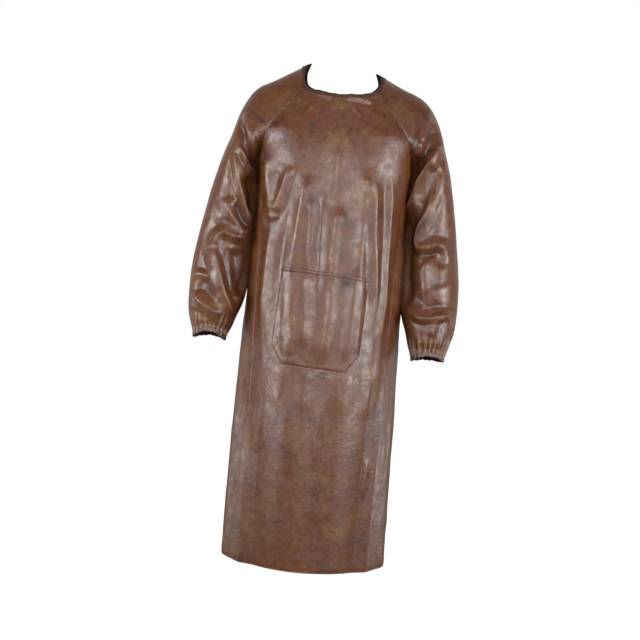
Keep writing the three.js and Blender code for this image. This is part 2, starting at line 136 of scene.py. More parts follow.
soft_box("left_soft_box", (-2.00, -1.10, -0.20), (1.00, 1.30), 46)
soft_box("right_soft_box", (1.90, -1.30, -0.20), (1.00, 1.30), 48)
soft_box("front_soft_box", (0.0, -2.95, 0.00), (2.2, 0.8), 60)
soft_box("top_soft_box", (0.0, -1.2, 1.9), (2.2, 1.6), 8)
soft_box("left_low_box", (-1.90, 0.90, -1.10), (0.60, 0.60), 4)
soft_box("right_low_box", (1.90, 0.90, -1.10), (0.60, 0.60), 5)

# The backdrop behind the apron is white, and the room in front of it is dim
world = bpy.data.worlds.new("pale_studio")
world.use_nodes = True
sky = world.node_tree.nodes["Background"]
sky.inputs["Color"].default_value = linear("#FFFFFF")
direction = add_node(
    world, "ShaderNodeSeparateXYZ",
    links={"Vector": add_node(world, "ShaderNodeTexCoord").outputs["Generated"]},
)
room = ranged(world, direction.outputs["Y"], ROOM_TURN, ROOM_LIGHT, interpolation_type="SMOOTHSTEP")
seen = add_node(
    world, "ShaderNodeMath",
    settings={"operation": "MAXIMUM"},
    links={0: room, 1: add_node(world, "ShaderNodeLightPath").outputs["Is Camera Ray"]},
)
world.node_tree.links.new(seen.outputs["Value"], sky.inputs["Strength"])
bpy.context.scene.world = world
bpy.context.scene.view_settings.view_transform = "Standard"

bpy.ops.mesh.primitive_plane_add(size=FLOOR_SIZE, location=(0, 0, FLOOR_LEVEL))
floor = bpy.context.object
floor.name = "floor"
floor_paint, floor_shader = new_material("matt_grey_floor_paint")
floor_shader.inputs["Base Color"].default_value = linear("#757473")
floor_shader.inputs["Roughness"].default_value = FLOOR_ROUGHNESS
floor_shader.inputs["Emission Color"].default_value = linear("#FFFFFF")
glow = add_node(
    floor_paint, "ShaderNodeMath",
    settings={"operation": "MULTIPLY"},
    sockets={1: FLOOR_GLOW},
    links={0: add_node(floor_paint, "ShaderNodeLightPath").outputs["Is Camera Ray"]},
)
floor_paint.node_tree.links.new(glow.outputs["Value"], floor_shader.inputs["Emission Strength"])
floor.data.materials.append(floor_paint)
print("floor at", FLOOR_LEVEL, "m")

# %% [markdown]
# ## The cut of the garment
# A pattern cutter thinks in sections: where the crown of the sleeve lies, how deep the sleeve is, how far
# the front stands out. These tables hold such sections in millimetres, and smooth curves join them. Every
# sheet of leather below is laid out on them, so neighbours share the very same seam line.

# %% Sections of the sleeve and the body
# Left sleeve, at +X: crown, middle of the chord, half depth to the front, half angle, crown's stand out
SLEEVE_ROWS = [
    ((102, 13, -2), (92, 3, -59), (1, -73, 1), 66, (0, 0)),
    ((150, 9, -30), (106, 6, -87), (3, -80, -4), 66, (0, 1)),
    ((197, 7, -56), (130, 6, -114), (3, -79, -5), 72, (2, 0)),
    ((229, 5, -102), (155, 5, -151), (2, -79, -3), 86, (3, -3)),
    ((252, 4, -172), (172, 5, -190), (0, -77, 0), 125, (3, -4)),
    ((267, 4, -222), (179, 4, -226), (0, -74, 0), 180, (3, -3)),
    ((284, 2, -298), (174.5, 2, -302), (0, -70, 0), 180, (2, -1)),
    ((302, -3, -405), (176, -3, -411), (0, -66, 2), 180, (1, 1)),
    ((311, -12, -480), (177, -12, -488), (0, -64, 5), 180, (0, 2)),
    ((312, -24, -548), (185, -24, -556), (0, -60, 7), 180, (0, 2)),
    ((309, -34, -597), (201, -34, -603), (0, -53, 7), 180, (0, 1)),
    ((302, -40, -623), (210, -40, -627), (0, -46, 6), 180, (0, 0)),
    ((296, -44, -640), (217, -44, -642), (0, -39, 5), 180, (0, 0)),
    ((294, -46, -647), (219, -46, -649), (0, -37, 5), 180, (0, 0)),
]
ARMPIT, ELBOW, ARCH_START, CUFF_SEAM = 5, 7, 9, 13  # numbers of sleeve rows
# How each sleeve differs: side, column of stand out, shift of the wrist, arch of the cuff, shift at the neck
ARMS = {
    "left": {"side": 1, "out": 0, "wrist": (-7, 0, -2), "arch": 7, "neck": (-2, 0, -5), "seed": 21},
    "right": {"side": -1, "out": 1, "wrist": (0, 0, 9), "arch": 12, "neck": (-8, 0, 7), "seed": 31},
}
NECK_FADE = 1.6  # rows over which a sleeve's own shift at the neck dies out
# Body: front centre, front half angle, back centre, back half angle
BODY_ROWS = [
    ((0, -95, -82), 74, (0, 88, -66), 60),
    ((0, -106, -112), 62, (0, 99, -92), 56),
    ((0, -115, -142), 52, (0, 107, -118), 52),
    ((0, -122, -172), 53, (0, 112, -148), 52),
    ((0, -127, -204), 68, (0, 115, -185), 66),
    ((0, -130, -240), 100, (0, 117, -228), 90),
    ((0, -132, -306), 84, (0, 115, -302), 105),
    ((0, -132, -420), 66, (0, 108, -420), 117.5),
    ((0, -138, -560), 58, (0, 114, -560), 122),
    ((0, -146, -720), 52, (0, 124, -720), 125.7),
    ((0, -152, -920), 46, (0, 132, -920), 129.8),
    ((0, -156, -1150), 40, (0, 140, -1150), 133),
]
HEM = 11
# Left side seam, with one point for each body row from the armpit to the hem
SIDE_SEAM = [
    (179, 4, -226),
    (172, -36, -302),
    (160, -58, -420),
    (155, -66, -560),
    (151, -72, -720),
    (146, -75, -920),
    (141, -78, -1150),
]
print("sections:", len(SLEEVE_ROWS), "of the sleeve and", len(BODY_ROWS), "of the body")

# %% [markdown]
# ## Curves through the sections
# A tailor's curve runs evenly through its marks. Here a centripetal curve does the same: it makes no loops
# between two sections, however unevenly they are spaced. An arc across each section then gives any point
# of a panel from two numbers: the row down the garment and the share of the way across.

# %% Curves through the sections
def smooth(x, low, high):
    """Rises softly from 0 at one value to 1 at another."""
    t = np.clip((x - low) / (high - low), 0.0, 1.0)
    return t * t * (3.0 - 2.0 * t)


def curve_through(points):
    """A centripetal curve through the points, read at row numbers that count from the first point."""
    knots = np.array(points, float)
    chain = np.vstack([2 * knots[0] - knots[1], knots, 2 * knots[-1] - knots[-2]])
    gaps = np.maximum(np.sqrt(np.linalg.norm(np.diff(chain, axis=0), axis=1)), 1e-4)

    def read(row):
        row = np.clip(np.asarray(row, float), 0, len(knots) - 1)
        k = np.minimum(row.astype(int), len(knots) - 2)
        t = (row - k)[..., None]
        before, here, there, after = (chain[k + step] for step in range(4))
        gap0, gap1, gap2 = (gaps[k + step][..., None] for step in range(3))
        leave = gap1 * ((here - before) / gap0 - (there - before) / (gap0 + gap1) + (there - here) / gap1)
        arrive = gap1 * ((there - here) / gap1 - (after - here) / (gap1 + gap2) + (after - there) / gap2)
        bend = 3 * (there - here) - 2 * leave - arrive
        twist = 2 * (here - there) + leave + arrive
        return here + t * (leave + t * (bend + t * twist))

    return read


def column(rows, place):
    """The curve through one column of points in a table."""
    return curve_through([row[place] for row in rows])


def numbers(values):
    """A curve through plain numbers, read at row numbers."""
    curve = curve_through([(value, k, 0) for k, value in enumerate(values)])

    def read(row):
        return curve(row)[..., 0]

    return read


sleeve_crown, sleeve_chord, sleeve_side = (column(SLEEVE_ROWS, k) for k in range(3))
sleeve_out = curve_through([(*row[4], k) for k, row in enumerate(SLEEVE_ROWS)])
side_seam = curve_through(SIDE_SEAM)


def sleeve_section(row, arm=None):
    """Crown, chord middle, half depth and half angle of the sleeve, as it hangs or as it was sewn."""
    crown, chord, side = sleeve_crown(row), sleeve_chord(row), sleeve_side(row)
    spread = np.radians(np.interp(row, range(len(SLEEVE_ROWS)), [r[3] for r in SLEEVE_ROWS]))
    if arm:
        shift = smooth(row, ELBOW, CUFF_SEAM)[..., None] * np.array(arm["wrist"], float)
        crown = crown + shift
        chord = chord + shift
        crown[..., 0] += sleeve_out(row)[..., arm["out"]]
        crown = crown + (1 - smooth(row, 0, NECK_FADE))[..., None] * np.array(arm["neck"], float)
    return crown, chord, side, spread


def arc_point(section, share):
    """A point on a section's arc, from -1 at its back or right end to 1 at its front or left end."""
    crown, chord, side, spread = section
    angle = share * spread
    fall = (1 - np.cos(angle)) / (1 - np.cos(spread))
    return crown + (chord - crown) * fall[..., None] + side * np.sin(angle)[..., None]


def body_section(row, crown_column, spreads, raglan_end):
    """Crown, chord middle, half width and half angle of the front or the back, sewn to the sleeve's edge."""
    raglan = arc_point(sleeve_section(row), np.full(np.shape(row), raglan_end))
    edge = np.where((row < ARMPIT)[..., None], raglan, side_seam(row - ARMPIT))
    spread = np.radians(spreads(row))
    side = np.zeros_like(edge)
    side[..., 0] = edge[..., 0] / np.sin(spread)
    chord = edge.copy()
    chord[..., 0] = 0
    return crown_column(row), chord, side, spread


front_crown, back_crown = column(BODY_ROWS, 0), column(BODY_ROWS, 2)
back_spread = numbers([row[3] for row in BODY_ROWS])
print("back's half angle at the hem:", back_spread(np.array([HEM])).round(1), "degrees")

# %% [markdown]
# ## A smooth chest
# The edge of the front turns sharply at the armpit, where the raglan seam meets the side seam. On the real
# apron the chest takes no notice of that corner. So the half angle of every front section is fitted, by
# halving an interval, until the chest well inside the edge lies on a smooth run of ellipses.

# %% A smooth chest
FIT_STEPS = 40  # fitted rows between two sections
FIT_HALVINGS = 40
FIT_ANGLES = (0.3, 2.4)  # radians between which the half angle is sought
FIT_AT = 0.8  # share of the half width at which the chest is held to its smooth shape
fit_rows = np.linspace(0, HEM, HEM * FIT_STEPS + 1)
fit_raglan = arc_point(sleeve_section(fit_rows), np.ones(len(fit_rows)))
fit_edge = np.where((fit_rows < ARMPIT)[:, None], fit_raglan, side_seam(fit_rows - ARMPIT))
fit_depth = fit_edge[:, 1] - front_crown(fit_rows)[:, 1]
half_angles = np.radians([row[1] for row in BODY_ROWS])
wide_axis = fit_edge[::FIT_STEPS, 0] / np.sin(half_angles)
deep_axis = fit_depth[::FIT_STEPS] / (1 - np.cos(half_angles))
for axis in (wide_axis, deep_axis):
    axis[ARMPIT] = (axis[ARMPIT - 1] + axis[ARMPIT + 1]) / 2
wide_axis, deep_axis = numbers(wide_axis)(fit_rows), numbers(deep_axis)(fit_rows)
wanted = deep_axis * (1 - np.sqrt(1 - (FIT_AT * fit_edge[:, 0] / wide_axis) ** 2)) / fit_depth
narrow, wide = (np.full(len(fit_rows), angle) for angle in FIT_ANGLES)
for _ in range(FIT_HALVINGS):
    middle = (narrow + wide) / 2
    found = (1 - np.cos(np.arcsin(FIT_AT * np.sin(middle)))) / (1 - np.cos(middle))
    narrow, wide = np.where(found > wanted, middle, narrow), np.where(found > wanted, wide, middle)
fit_spread = np.degrees(narrow)


def front_spread(row):
    """The fitted half angle of the front, in degrees."""
    return np.interp(row, fit_rows, fit_spread)


def front_section(row):
    """Section of the front, sewn to the front edges of the sleeves."""
    return body_section(row, front_crown, front_spread, 1.0)


def back_section(row):
    """Section of the back, sewn to the back edges of the sleeves."""
    return body_section(row, back_crown, back_spread, -1.0)


hem_edge = arc_point(front_section(np.array([HEM])), np.array([1.0]))[0]
print("front hem ends at", hem_edge.round(1), "mm")

# %% [markdown]
# ## Folds
# Leather cloth does not ripple like cotton: it breaks into a few long ridges that run from a point of pull,
# with a sharp crest and flatter flanks. A fold is a row in a table: the points along its crest as seen from
# the front, its width, its height, how crisp it is and to which side it leans. Sculpting would work too,
# but a table keeps every fold in its place.

# %% Fold tools
FOLD_STEPS = 28  # straight steps along a crest
FOLD_HOLLOW = 0.30  # how deep the ditch beside a ridge is, as a share of its height
DITCH_AT, DITCH_WIDTH = 2.3, 0.9  # in widths of the fold
FOLD_GROWN, FOLD_FADES = 0.22, 0.75  # shares of the way along between which a fold has its full height
FAR = 3.2  # widths from the crest beyond which a fold is not felt
LATTICE, LATTICE_START = 96, 40.0  # size of the table of random hills, and where it is read from


def fold_line(points):
    """Points at even row steps along a crest."""
    return curve_through(points)(np.linspace(0, len(points) - 1, FOLD_STEPS + 1))


def fold_height(folds, x, z):
    """Height of all the folds at points of the front view, in millimetres."""
    flat = np.stack([np.ravel(x), np.ravel(z)], -1).astype(float)
    height = np.zeros(len(flat))
    for points, width, crest, crisp, lean in folds:
        line = fold_line(points)
        reach = FAR * width * (1 + abs(lean)) + crisp
        near = np.all((flat > line.min(0) - reach) & (flat < line.max(0) + reach), axis=1)
        spot = flat[near]
        step = np.diff(line, axis=0)
        offset = spot[:, None, :] - line[None, :-1, :]
        share = np.clip((offset * step).sum(-1) / (step ** 2).sum(-1), 0, 1)
        offset = offset - share[..., None] * step
        squared = (offset ** 2).sum(-1)
        best = squared.argmin(1)
        pick = np.arange(len(spot))
        distance = np.sqrt(squared[pick, best])
        along = (best + share[pick, best]) / FOLD_STEPS
        turn = step[best, 0] * offset[pick, best, 1] - step[best, 1] * offset[pick, best, 0]
        reach_here = width * (1 + lean * np.tanh(np.sign(turn) * distance / crisp))
        away = (np.sqrt(distance ** 2 + crisp ** 2) - crisp) / reach_here
        ditch = np.exp(-(((distance / reach_here) - DITCH_AT) / DITCH_WIDTH) ** 2)
        taper = smooth(along, 0.0, FOLD_GROWN) * (1 - smooth(along, FOLD_FADES, 1.0))
        height[near] += crest * taper * (np.exp(-away) - FOLD_HOLLOW * ditch)
    return height.reshape(np.shape(x))


def drift(u, v, size, stretch, seed):
    """Smooth random hills of a given size across and a longer one downwards, about 1 high."""
    lattice = np.random.default_rng(seed).standard_normal((LATTICE, LATTICE))
    a, b = u / size + LATTICE_START, v / (size * stretch) + LATTICE_START
    i, j = np.floor(a).astype(int), np.floor(b).astype(int)
    s, t = smooth(a - i, 0, 1), smooth(b - j, 0, 1)
    i, j = i % (LATTICE - 1), j % (LATTICE - 1)
    top = lattice[j, i] * (1 - s) + lattice[j, i + 1] * s
    low = lattice[j + 1, i] * (1 - s) + lattice[j + 1, i + 1] * s
    return top * (1 - t) + low * t


def slack_height(layers, u, v):
    """Sum of random hills, each layer given by its height, size, stretch and seed."""
    return sum(high * drift(u, v, size, stretch, seed) for high, size, stretch, seed in layers)


sample_fold = (((0, 0), (0, 50), (0, 100)), 12, 6, 3, 0)
print("a sample fold is", fold_height([sample_fold], np.array([0.0]), np.array([50.0])), "mm high")

# %% [markdown]
# ## From section to sheet
# A panel's surface is its cut, lifted by folds along its own outward direction. The seams are worked in at
# the same time: an edge dips where the needle pulls it down, and the seam allowance behind it lifts a welt.
# The grid that carries the panel has more rows and columns where there is more to show.

# %% From section to sheet
STEP = 0.004  # small step in rows and shares, for reading slopes
LENGTH_ROWS, LENGTH_SHARES = 105, 41  # points at which the half length of a panel is measured
TUCK, TUCK_DEPTH, TUCK_SLOPE = 4.0, 1.3, 1.6  # how far a panel reaches under its neighbour, and how deep
TUCK_END = ARMPIT - 0.2  # row at which the tuck under the sleeve stops
GROOVE_WIDTH = 1.9
WELT_FOOT, WELT_END = (1.2, 3.4), (7.5, 11.0)  # where the welt rises and falls, from the seam
EDGE_SHARE, EDGE_COUNT, EDGE_CROWD = 0.045, 8, 1.4  # crowding of the columns beside a seam


def unit(vectors):
    """The same directions with length 1."""
    return vectors / np.maximum(np.linalg.norm(vectors, axis=-1, keepdims=True), 1e-12)


def surface_of(base, height, outward):
    """A function that gives the finished points and the outward directions of a panel."""

    def read(row, share, lift=0.0):
        row, share = np.broadcast_arrays(np.asarray(row, float), np.asarray(share, float))
        here = base(row, share)
        across = base(row, share + STEP) - base(row, share - STEP)
        down = base(row + STEP, share) - base(row - STEP, share)
        out = outward * unit(np.cross(across, down))
        return here + out * (height(here, row, share) + lift)[..., None], out

    return read


def half_length(base):
    """Length from the middle of a panel to its edge, by row."""
    rows = np.linspace(0, CUFF_SEAM, LENGTH_ROWS)
    shares = np.linspace(0, 1, LENGTH_SHARES)
    grid = base(*np.meshgrid(rows, shares, indexing="ij"))
    lengths = np.linalg.norm(np.diff(grid, axis=1), axis=-1).sum(1)

    def read(row):
        return np.interp(row, rows, lengths)

    return read


def seam_relief(distance, dip, welt):
    """Groove at the seam, the welt of the seam allowance behind it, and the tuck under the neighbour."""
    groove = -dip * np.exp(-((np.maximum(distance, 0) / GROOVE_WIDTH) ** 2))
    groove = groove - TUCK_DEPTH * smooth(-distance, 0.0, TUCK_SLOPE)
    return groove + welt * (smooth(distance, *WELT_FOOT) - smooth(distance, *WELT_END))


def spread_rows(*stretches):
    """Row numbers of a grid: each stretch is its first row, its last row and its number of steps."""
    parts = [np.linspace(first, last, steps, endpoint=False) for first, last, steps in stretches]
    return np.concatenate([*parts, [stretches[-1][1]]])


def spread_columns(count, edge_share=EDGE_SHARE, edge_count=EDGE_COUNT):
    """Shares from -1 to 1, closer together at the two edges, where the seams are."""
    edge = edge_share * np.linspace(0, 1, edge_count + 1) ** EDGE_CROWD
    middle = np.linspace(-1 + edge_share, 1 - edge_share, count - 2 * edge_count + 1)
    return np.concatenate([-1 + edge[:-1], middle, (1 - edge[:-1])[::-1]])


print("a grid of 170 columns has", len(spread_columns(170)), "shares")

# %% [markdown]
# ## Laying a sheet
# A sheet starts as Blender's own grid. Its columns run across the panel and its rows run down it, so every
# grid point can be laid on the garment. Solidify then gives the leather its thickness, with the knitted
# backing as a second material on the inside.

# %% Laying a sheet
LEATHER_THICKNESS = 1.3
WELD = 2e-5  # metres within which points of a closed sheet are one
SHEET_CREASE = math.radians(55)  # sharper edges than this stay sharp


def lay_sheet(name, points, closed=False):
    """Adds a grid and lays its points out, with a UV map in metres of leather."""
    rows, columns = points.shape[:2]
    bpy.ops.object.select_all(action="DESELECT")
    bpy.ops.mesh.primitive_grid_add(
        x_subdivisions=columns - 1, y_subdivisions=rows - 1, size=2, calc_uvs=True,
    )
    sheet = bpy.context.object
    sheet.name = name
    sheet.data.name = name
    mesh = sheet.data
    flat = np.empty(len(mesh.vertices) * 3, np.float32)
    mesh.vertices.foreach_get("co", flat)
    flat = flat.reshape(-1, 3)
    i = np.rint((flat[:, 0] + 1) / 2 * (columns - 1)).astype(int)
    j = np.rint((1 - flat[:, 1]) / 2 * (rows - 1)).astype(int)
    mesh.vertices.foreach_set("co", (points[j, i] * MM).astype(np.float32).ravel())
    across = np.zeros((rows, columns))
    across[:, 1:] = np.cumsum(np.linalg.norm(np.diff(points, axis=1), axis=-1), axis=1)
    across -= across[:, [columns // 2]]
    down = np.zeros((rows, columns))
    down[1:] = np.cumsum(np.linalg.norm(np.diff(points, axis=0), axis=-1), axis=0)
    corner = np.empty(len(mesh.loops), np.int32)
    mesh.loops.foreach_get("vertex_index", corner)
    lengths = np.stack([across[j, i], -down[j, i]], -1)[corner] * MM
    mesh.uv_layers.active.data.foreach_set("uv", lengths.astype(np.float32).ravel())
    mesh.update()
    if closed:
        bpy.ops.object.mode_set(mode="EDIT")
        bpy.ops.mesh.select_all(action="SELECT")
        bpy.ops.mesh.remove_doubles(threshold=WELD)
        bpy.ops.object.mode_set(mode="OBJECT")
    return sheet


def thicken(sheet, thickness):
    """Gives the leather its thickness on the inside, with the backing as the second material."""
    bpy.context.view_layer.objects.active = sheet
    sheet.select_set(True)
    bpy.ops.object.modifier_add(type="SOLIDIFY")
    wall = sheet.modifiers[-1]
    wall.thickness = thickness * MM
    wall.offset = -1
    wall.use_rim = True
    wall.material_offset = 1
    wall.material_offset_rim = 1
    bpy.ops.object.modifier_apply(modifier=wall.name)
    bpy.ops.object.shade_smooth_by_angle(angle=SHEET_CREASE)


print("leather is", LEATHER_THICKNESS, "mm thick")

# %% [markdown]
# ## Front panel
# The front hangs from the two raglan seams and from the chest. On its right side it is pinched below the
# armpit, and long streaks of slack run down from the chest to the pocket. A sharp crease stands along the
# left side. The skirt below is nearly smooth, and its side seams are pressed to a crease that grows to
# the hem.

# %% Front panel
# Points on the crest, width, height, crispness, lean
FRONT_FOLDS = [
    (((8, -84), (30, -80), (52, -81), (78, -86)), 4.5, 4, 1.8, 0),
    (((-54, -73), (-36, -79), (-14, -86)), 5, 2.6, 2, 0),
    (((-18, -82), (-4, -95), (9, -107)), 9, 1.8, 3, 0),
    (((26, -100), (38, -110), (52, -122)), 4, 1.6, 1.5, 0),
    (((-157, -215), (-148, -289), (-134, -362)), 12, 7, 4, 0.3),
    (((-100, -240), (-116, -308), (-132, -368)), 11, 7, 3, -0.3),
    (((-128, -250), (-130, -299), (-133, -345)), 10, -5, 5, 0),
    (((-145, -352), (-131, -363), (-118, -356)), 6, 4, 2, 0),
    (((-130, -375), (-135, -481), (-140, -620)), 11, 6, 3, 0.2),
    (((-56, -255), (-71, -367), (-82, -520)), 14, 8, 5, 0.2),
    (((-50, -300), (-45, -392), (-41, -510)), 13, 7, 5, -0.2),
    (((16, -320), (11, -420), (14, -530)), 17, 8, 7, 0.2),
    (((5, -190), (6, -254), (6, -325)), 5, 1.6, 2, 0),
    (((86, -225), (76, -360), (69, -520)), 17, 8, 8, -0.2),
    (((94, -255), (106, -408), (128, -600)), 12, 8, 4, 0.2),
    (((130, -240), (137, -402), (138, -640)), 10, 8, 2.5, 0.35),
    (((-88, -690), (-87, -735), (-92, -800)), 16, 2.6, 7, 0),
    (((-22, -700), (-26, -740), (-24, -800)), 13, 2.4, 6, 0),
    (((40, -700), (40, -730), (46, -790)), 10, 2.2, 5, 0),
    (((62, -700), (64, -732), (64, -800)), 10, 2.2, 5, 0),
    (((118, -690), (118, -742), (112, -810)), 12, 2.6, 6, 0),
    (((9, -780), (8, -842), (9, -910)), 6, 1.8, 2.5, 0),
    (((-104, -780), (-108, -830), (-106, -890)), 12, 2.4, 5, 0),
    (((-128, -790), (-132, -840), (-136, -900)), 11, 2.2, 5, 0),
    (((128, -890), (124, -934), (122, -985)), 6, 2.5, 2.5, 0.3),
    (((-60, -730), (-66, -928), (-72, -1180)), 40, 5, 20, 0),
]
FRONT_SLACK = ((1.0, 46, 5.0, 3), (0.22, 15, 2.5, 4))  # height, size, stretch, seed
FOLD_EDGE = (2, 26)  # distances from a seam between which the folds come in
SKIRT_CALM, CALM_LEVELS = 0.45, (700, 900)  # how much less slack the skirt has, and from where
RAGLAN_DIP, SIDE_DIP, DIP_TURN = 0.2, 0.1, ARMPIT - 0.1  # depth of the seams, and the row where one ends
SEAM_CALM, CALM_FROM, CALM_TO = 0.7, (240, 300), (640, 760)  # the side seam is flatter beside the sleeves
HEM_ROLL, HEM_LEVELS = 1.2, (1138, 1150)  # how far the hem is rolled in
SIDE_CREASE = 15.0  # how far the pressed crease along a side seam of the skirt stands out
CREASE_WAY = np.array([0.3, -0.95, 0.0])
CREASE_LEVELS = {"left": (560, 820), "right": (700, 980)}  # where each crease starts and is full
CREASE_SHARPNESS = 1.2
FRONT_CREASE_REACH, BACK_CREASE_REACH = 0.24, 0.11  # shares of the panels' half widths


def side_crease(point, share, reach):
    """Moves a panel's edge out to the crease, higher up on the left than on the right."""
    side, level = np.sign(point[..., 0]), -point[..., 2]
    left, right = (smooth(level, *CREASE_LEVELS[name]) for name in ("left", "right"))
    strength = np.where(side > 0, left, right)
    near = np.clip(1 - (1 - np.abs(share)) / reach, 0, 1) ** CREASE_SHARPNESS
    way = CREASE_WAY * np.stack([side, np.ones_like(side), np.ones_like(side)], -1)
    return point + (SIDE_CREASE * strength * near)[..., None] * way


def front_base(row, share):
    """The cut of the front, as a function of row and share."""
    return side_crease(arc_point(front_section(row), share), share, FRONT_CREASE_REACH)


front_half = half_length(front_base)


def front_height(here, row, share):
    """How far the front stands off its cut: folds, slack, seams and the rolled hem."""
    edge = (1 - np.abs(share)) * front_half(row)
    folds = fold_height(FRONT_FOLDS, here[..., 0], here[..., 2])
    u, v = share * front_half(row), -here[..., 2]
    slack = slack_height(FRONT_SLACK, u, v) * (1 - SKIRT_CALM * smooth(v, *CALM_LEVELS))
    sewn = seam_relief(edge, np.where(row < DIP_TURN, RAGLAN_DIP, SIDE_DIP), 0.0)
    sewn = sewn * (1 - SEAM_CALM * smooth(v, *CALM_FROM) * (1 - smooth(v, *CALM_TO)))
    return smooth(edge, *FOLD_EDGE) * (folds + slack) + sewn - HEM_ROLL * smooth(v, *HEM_LEVELS)


front_surface = surface_of(front_base, front_height, -1)
front_rows = spread_rows((0, 0.15, 6), (0.15, 5, 58), (5, 9, 158), (9, 10.9, 50), (10.9, HEM, 8))
front_columns = spread_columns(168, 0.06, 10)
front_reach = 1 + TUCK * (front_rows < TUCK_END) / front_half(front_rows)
front_grid, _ = front_surface(front_rows[:, None], front_reach[:, None] * front_columns[None, :])
front_leather = lay_sheet("front_leather", front_grid)
print("front panel:", len(front_leather.data.polygons), "faces")

# %% [markdown]
# ## Back panel
# The back is one plain panel that hangs from the shoulders in wide, soft flutes. It reaches round both
# sides to the front, where its edges are sewn to the front panel, so its sides are what the light grazes.

# %% Back panel
BACK_FOLDS = [
    (((-110, -230), (-118, -652), (-124, -1180)), 26, 11, 12, 0.2),
    (((-40, -320), (-46, -725), (-50, -1180)), 28, -8, 16, 0),
    (((36, -280), (43, -690), (48, -1180)), 28, 10, 12, -0.2),
    (((112, -240), (118, -675), (122, -1180)), 26, -8, 16, 0),
    (((-86, -150), (-64, -272), (-52, -420)), 16, 5, 6, 0.2),
    (((84, -150), (74, -282), (74, -440)), 16, 5, 6, -0.2),
]
BACK_SLACK = ((1.6, 55, 3.0, 11), (0.5, 18, 2.0, 12))  # height, size, stretch, seed
BACK_FOLD_EDGE = (2, 60)
FOLDS_BEHIND = (-20, 60)  # places along Y between which the folds of the back come in
SIDE_TUCK = 0.8
ARM_PRESS = 4.5  # how far the hanging sleeves press the sides in
PRESS_FROM, PRESS_TO, PRESS_WIDTH = (232, 270), (320, 420), 45


def back_base(row, share):
    """The cut of the back, as a function of row and share."""
    return side_crease(arc_point(back_section(row), share), share, BACK_CREASE_REACH)


back_half = half_length(back_base)


def back_height(here, row, share):
    """How far the back stands off its cut: folds, pressed sides, slack, seams and the rolled hem."""
    edge = (1 - np.abs(share)) * back_half(row)
    folds = fold_height(BACK_FOLDS, here[..., 0], here[..., 2]) * smooth(here[..., 1], *FOLDS_BEHIND)
    u, v = share * back_half(row), -here[..., 2]
    pressed = ARM_PRESS * smooth(v, *PRESS_FROM) * (1 - smooth(v, *PRESS_TO))
    pressed = pressed * np.exp(-((here[..., 1] / PRESS_WIDTH) ** 4))
    slack = smooth(edge, *FOLD_EDGE) * slack_height(BACK_SLACK, u, v)
    sewn = seam_relief(edge, SIDE_DIP, 0.0) - HEM_ROLL * smooth(v, *HEM_LEVELS)
    return smooth(edge, *BACK_FOLD_EDGE) * (folds - pressed) + slack + sewn


back_surface = surface_of(back_base, back_height, 1)
back_rows = spread_rows((0, 0.15, 5), (0.15, 5, 40), (5, 10.9, 120), (10.9, HEM, 6))
back_columns = spread_columns(150, edge_count=10)
back_reach = 1 + np.where(back_rows < TUCK_END, TUCK, SIDE_TUCK) / back_half(back_rows)
back_grid, _ = back_surface(back_rows[:, None], back_reach[:, None] * back_columns[None, :])
back_leather = lay_sheet("back_leather", back_grid[:, ::-1])
print("back panel:", len(back_leather.data.polygons), "faces")

# %% [markdown]
# ## Sleeves
# Each sleeve is a strip over the shoulder that closes into a tube at the armpit. It hangs bent, so its
# folds fan out from the armpit, gather into a crest in the crook of the elbow and run on to the wrist,
# where elastic pulls the leather into small pleats. The pleats are uneven: some are deep, some die early.

# %% Sleeves
LEFT_SLEEVE_FOLDS = [
    (((209, -91), (202, -129), (191, -176), (178, -204)), 12, 9, 3, 0.2),
    (((219, -105), (214, -155), (197, -203), (172, -251)), 11, -13, 5, 0),
    (((184, -165), (194, -176), (192, -191)), 4, 4, 1.5, 0),
    (
        ((246, -171), (229, -179), (216, -203), (200, -244), (190, -284), (182, -313), (172, -316)),
        9, 13, 1.8, 0.3,
    ),
    (
        (
            (213, -262), (223, -285), (220, -319), (206, -355), (200, -382),
            (206, -401), (225, -403), (247, -394), (269, -403), (283, -436),
        ),
        9, 12, 1.8, 0.2,
    ),
    (((228, -208), (216, -255), (201, -306)), 14, -8, 6, 0),
    (((220, -430), (249, -459), (271, -495)), 26, 7, 14, 0),
    (((176, -318), (176, -400), (184, -480), (194, -560)), 17, -15, 9, 0),
    (((211, -420), (241, -417), (271, -449)), 9, -6, 4, 0),
    (((204, -541), (219, -562), (242, -563), (265, -556), (284, -557), (296, -585)), 8, 10, 1.8, 0.2),
    (((255, -611), (252, -581), (261, -565), (278, -559)), 7, 8, 1.8, 0),
    (((203, -512), (236, -536), (273, -525)), 14, -6, 6, 0),
]
RIGHT_SLEEVE_FOLDS = [
    (((-213, -118), (-207, -156), (-196, -201), (-178, -246)), 9, 10, 2.2, 0.2),
    (((-220, -146), (-211, -187), (-192, -228), (-181, -261)), 8, -9, 4, 0),
    (((-225, -200), (-209, -225), (-196, -243), (-184, -263)), 6, 7, 1.6, 0),
    (((-231, -200), (-225, -253), (-216, -291), (-204, -328), (-192, -365), (-177, -400)), 9, 11, 2, 0.3),
    (((-196, -262), (-184, -311), (-176, -360)), 15, -13, 7, 0),
    (((-246, -320), (-233, -353), (-213, -382), (-179, -406)), 12, 9, 4, 0),
    (((-222, -330), (-207, -367), (-185, -395)), 8, -7, 4, 0),
    (((-257, -447), (-255, -420), (-242, -406), (-215, -413), (-178, -409)), 9, 12, 2, 0.2),
    (((-260, -425), (-254, -462), (-242, -500), (-230, -537), (-217, -570), (-206, -596)), 10, 11, 2.2, -0.3),
    (((-212, -425), (-202, -475), (-192, -520), (-190, -557)), 22, -16, 10, 0),
    (((-304, -506), (-283, -505), (-258, -513)), 7, 6, 1.8, 0),
    (((-305, -543), (-278, -568), (-250, -585), (-225, -593)), 10, 8, 3, 0),
    (((-297, -527), (-269, -544), (-240, -561)), 12, -7, 6, 0),
]
